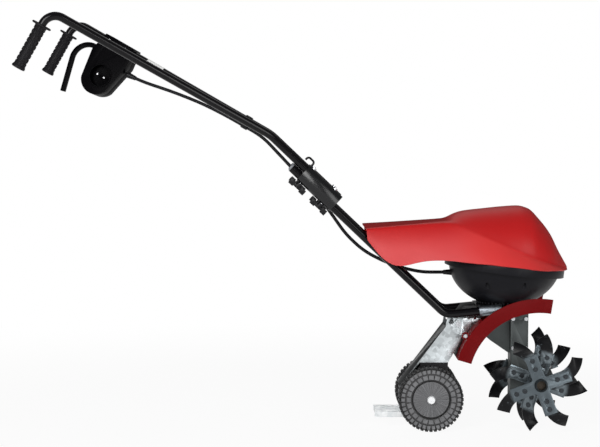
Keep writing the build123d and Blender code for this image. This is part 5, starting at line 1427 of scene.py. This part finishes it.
@dataclass
class Studio:
    """Camera, floor and light."""

    focal_px: float = 1660.0
    image_px: float = 600.0
    sensor: float = 36.0
    view_end: float = 60.0
    pitch_deg: float = 3.74
    eye: Spot = (-0.0168, -3.9177, 0.7389)
    floor_half: float = 14.0
    floor_white: float = 0.93
    floor_paper: Colour = (0.8, 0.8, 0.8)
    shadow_reach: float = 0.7
    front: float = 0.7
    back: float = 0.45
    room: float = 0.3
    tent_tilt: float = 0.6
    tent_span: Pair = (-0.3, 0.9)
    lamps: tuple[Lamp, ...] = (
        Lamp("key", (-1.4, -3.4, 1.9), 2.0, 112.0),
        Lamp("fill", (2.2, -3.2, 1.0), 1.8, 48.0),
        Lamp("rim", (0.4, 2.2, 3.0), 2.2, 12.0),
    )

    def build(self) -> None:
        """Make the camera, the floor and the light."""
        self._camera()
        self._floor()
        self._world()
        for lamp in self.lamps:
            lamp.build()
        bpy.context.scene.view_settings.view_transform = "Standard"

    def _camera(self) -> None:
        """Camera at the photograph's angle."""
        data = bpy.data.cameras.new("camera")
        data.sensor_width = self.sensor
        data.lens = self.focal_px / self.image_px * self.sensor
        data.clip_end = self.view_end
        camera = placed("camera", data)
        camera.location = self.eye
        camera.rotation_euler = (math.radians(90.0 - self.pitch_deg), 0.0, 0.0)
        bpy.context.scene.camera = camera

    def _floor(self) -> None:
        """Pale floor that keeps a soft shadow."""
        mesh = bpy.data.meshes.new("floor")
        half = self.floor_half
        corners = [(-half, -half, 0), (half, -half, 0), (half, half, 0), (-half, half, 0)]
        mesh.from_pydata(corners, [], [(0, 1, 2, 3)])
        floor = placed("floor", mesh)
        bench = Bench.material("floor_white")
        away = bench.length(bench.where())
        far = bench.fade(away, self.shadow_reach, 3 * self.shadow_reach)
        white = self._seen(bench) * (self.floor_white + far * (1.0 - self.floor_white))
        paper = bench.add("ShaderNodeBsdfDiffuse", None, {"Color": self.floor_paper})
        glow = bench.add("ShaderNodeEmission", None, {"Color": WHITE, "Strength": 1.0})
        surface = bench.add("ShaderNodeMixShader", None, {0: white, 1: paper, 2: glow})
        mesh.materials.append(bench.close(surface))

    @staticmethod
    def _seen(bench: Bench) -> Wire:
        """One where a ray comes from the camera, a reflection or a clear piece."""
        rays = ("Is Camera Ray", "Is Glossy Ray", "Is Transmission Ray")
        return sum(bench.add("ShaderNodeLightPath", output=ray) for ray in rays)

    def _world(self) -> None:
        """White to the camera, and to the rest a dim tent, darker behind than in front."""
        world = bpy.data.worlds.new("studio")
        bpy.context.scene.world = world
        bench = Bench(world)
        aim = bench.add("ShaderNodeTexCoord", output="Generated")
        behind = bench.along("Y", aim) - bench.along("Z", aim) * self.tent_tilt
        share = bench.fade(behind, *self.tent_span)
        tent = bench.ramp(share, (0.0, self.front), (1.0, self.back))
        room = bench.add("ShaderNodeBackground", None, {"Color": tent, "Strength": self.room})
        white = bench.add("ShaderNodeBackground", None, {"Color": WHITE, "Strength": 1.0})
        seen = bench.add("ShaderNodeLightPath", output="Is Camera Ray")
        bench.close(bench.add("ShaderNodeMixShader", None, {0: seen, 1: room, 2: white}))


def dress_nodes() -> None:
    """Give every CAD node its finish."""
    for finish, names in NODE_FINISH.items():
        for name in names:
            dress(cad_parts[name].data, finish)
    log.info("dressed %d CAD nodes", sum(len(names) for names in NODE_FINISH.values()))


def main() -> None:
    """Build the scene."""
    logging.basicConfig(level=logging.INFO, format="%(message)s")
    Studio().build()
    dress_nodes()
    stack = StackTree()
    for side in Side:
        RoadWheel(side, stack).build()
        Grip(side, stack).build()
    for edge in SOFT_EDGES:
        edge.build()
    BowlVents(stack).build()
    BareStrip().build()


if __name__ == "__main__":
    main()
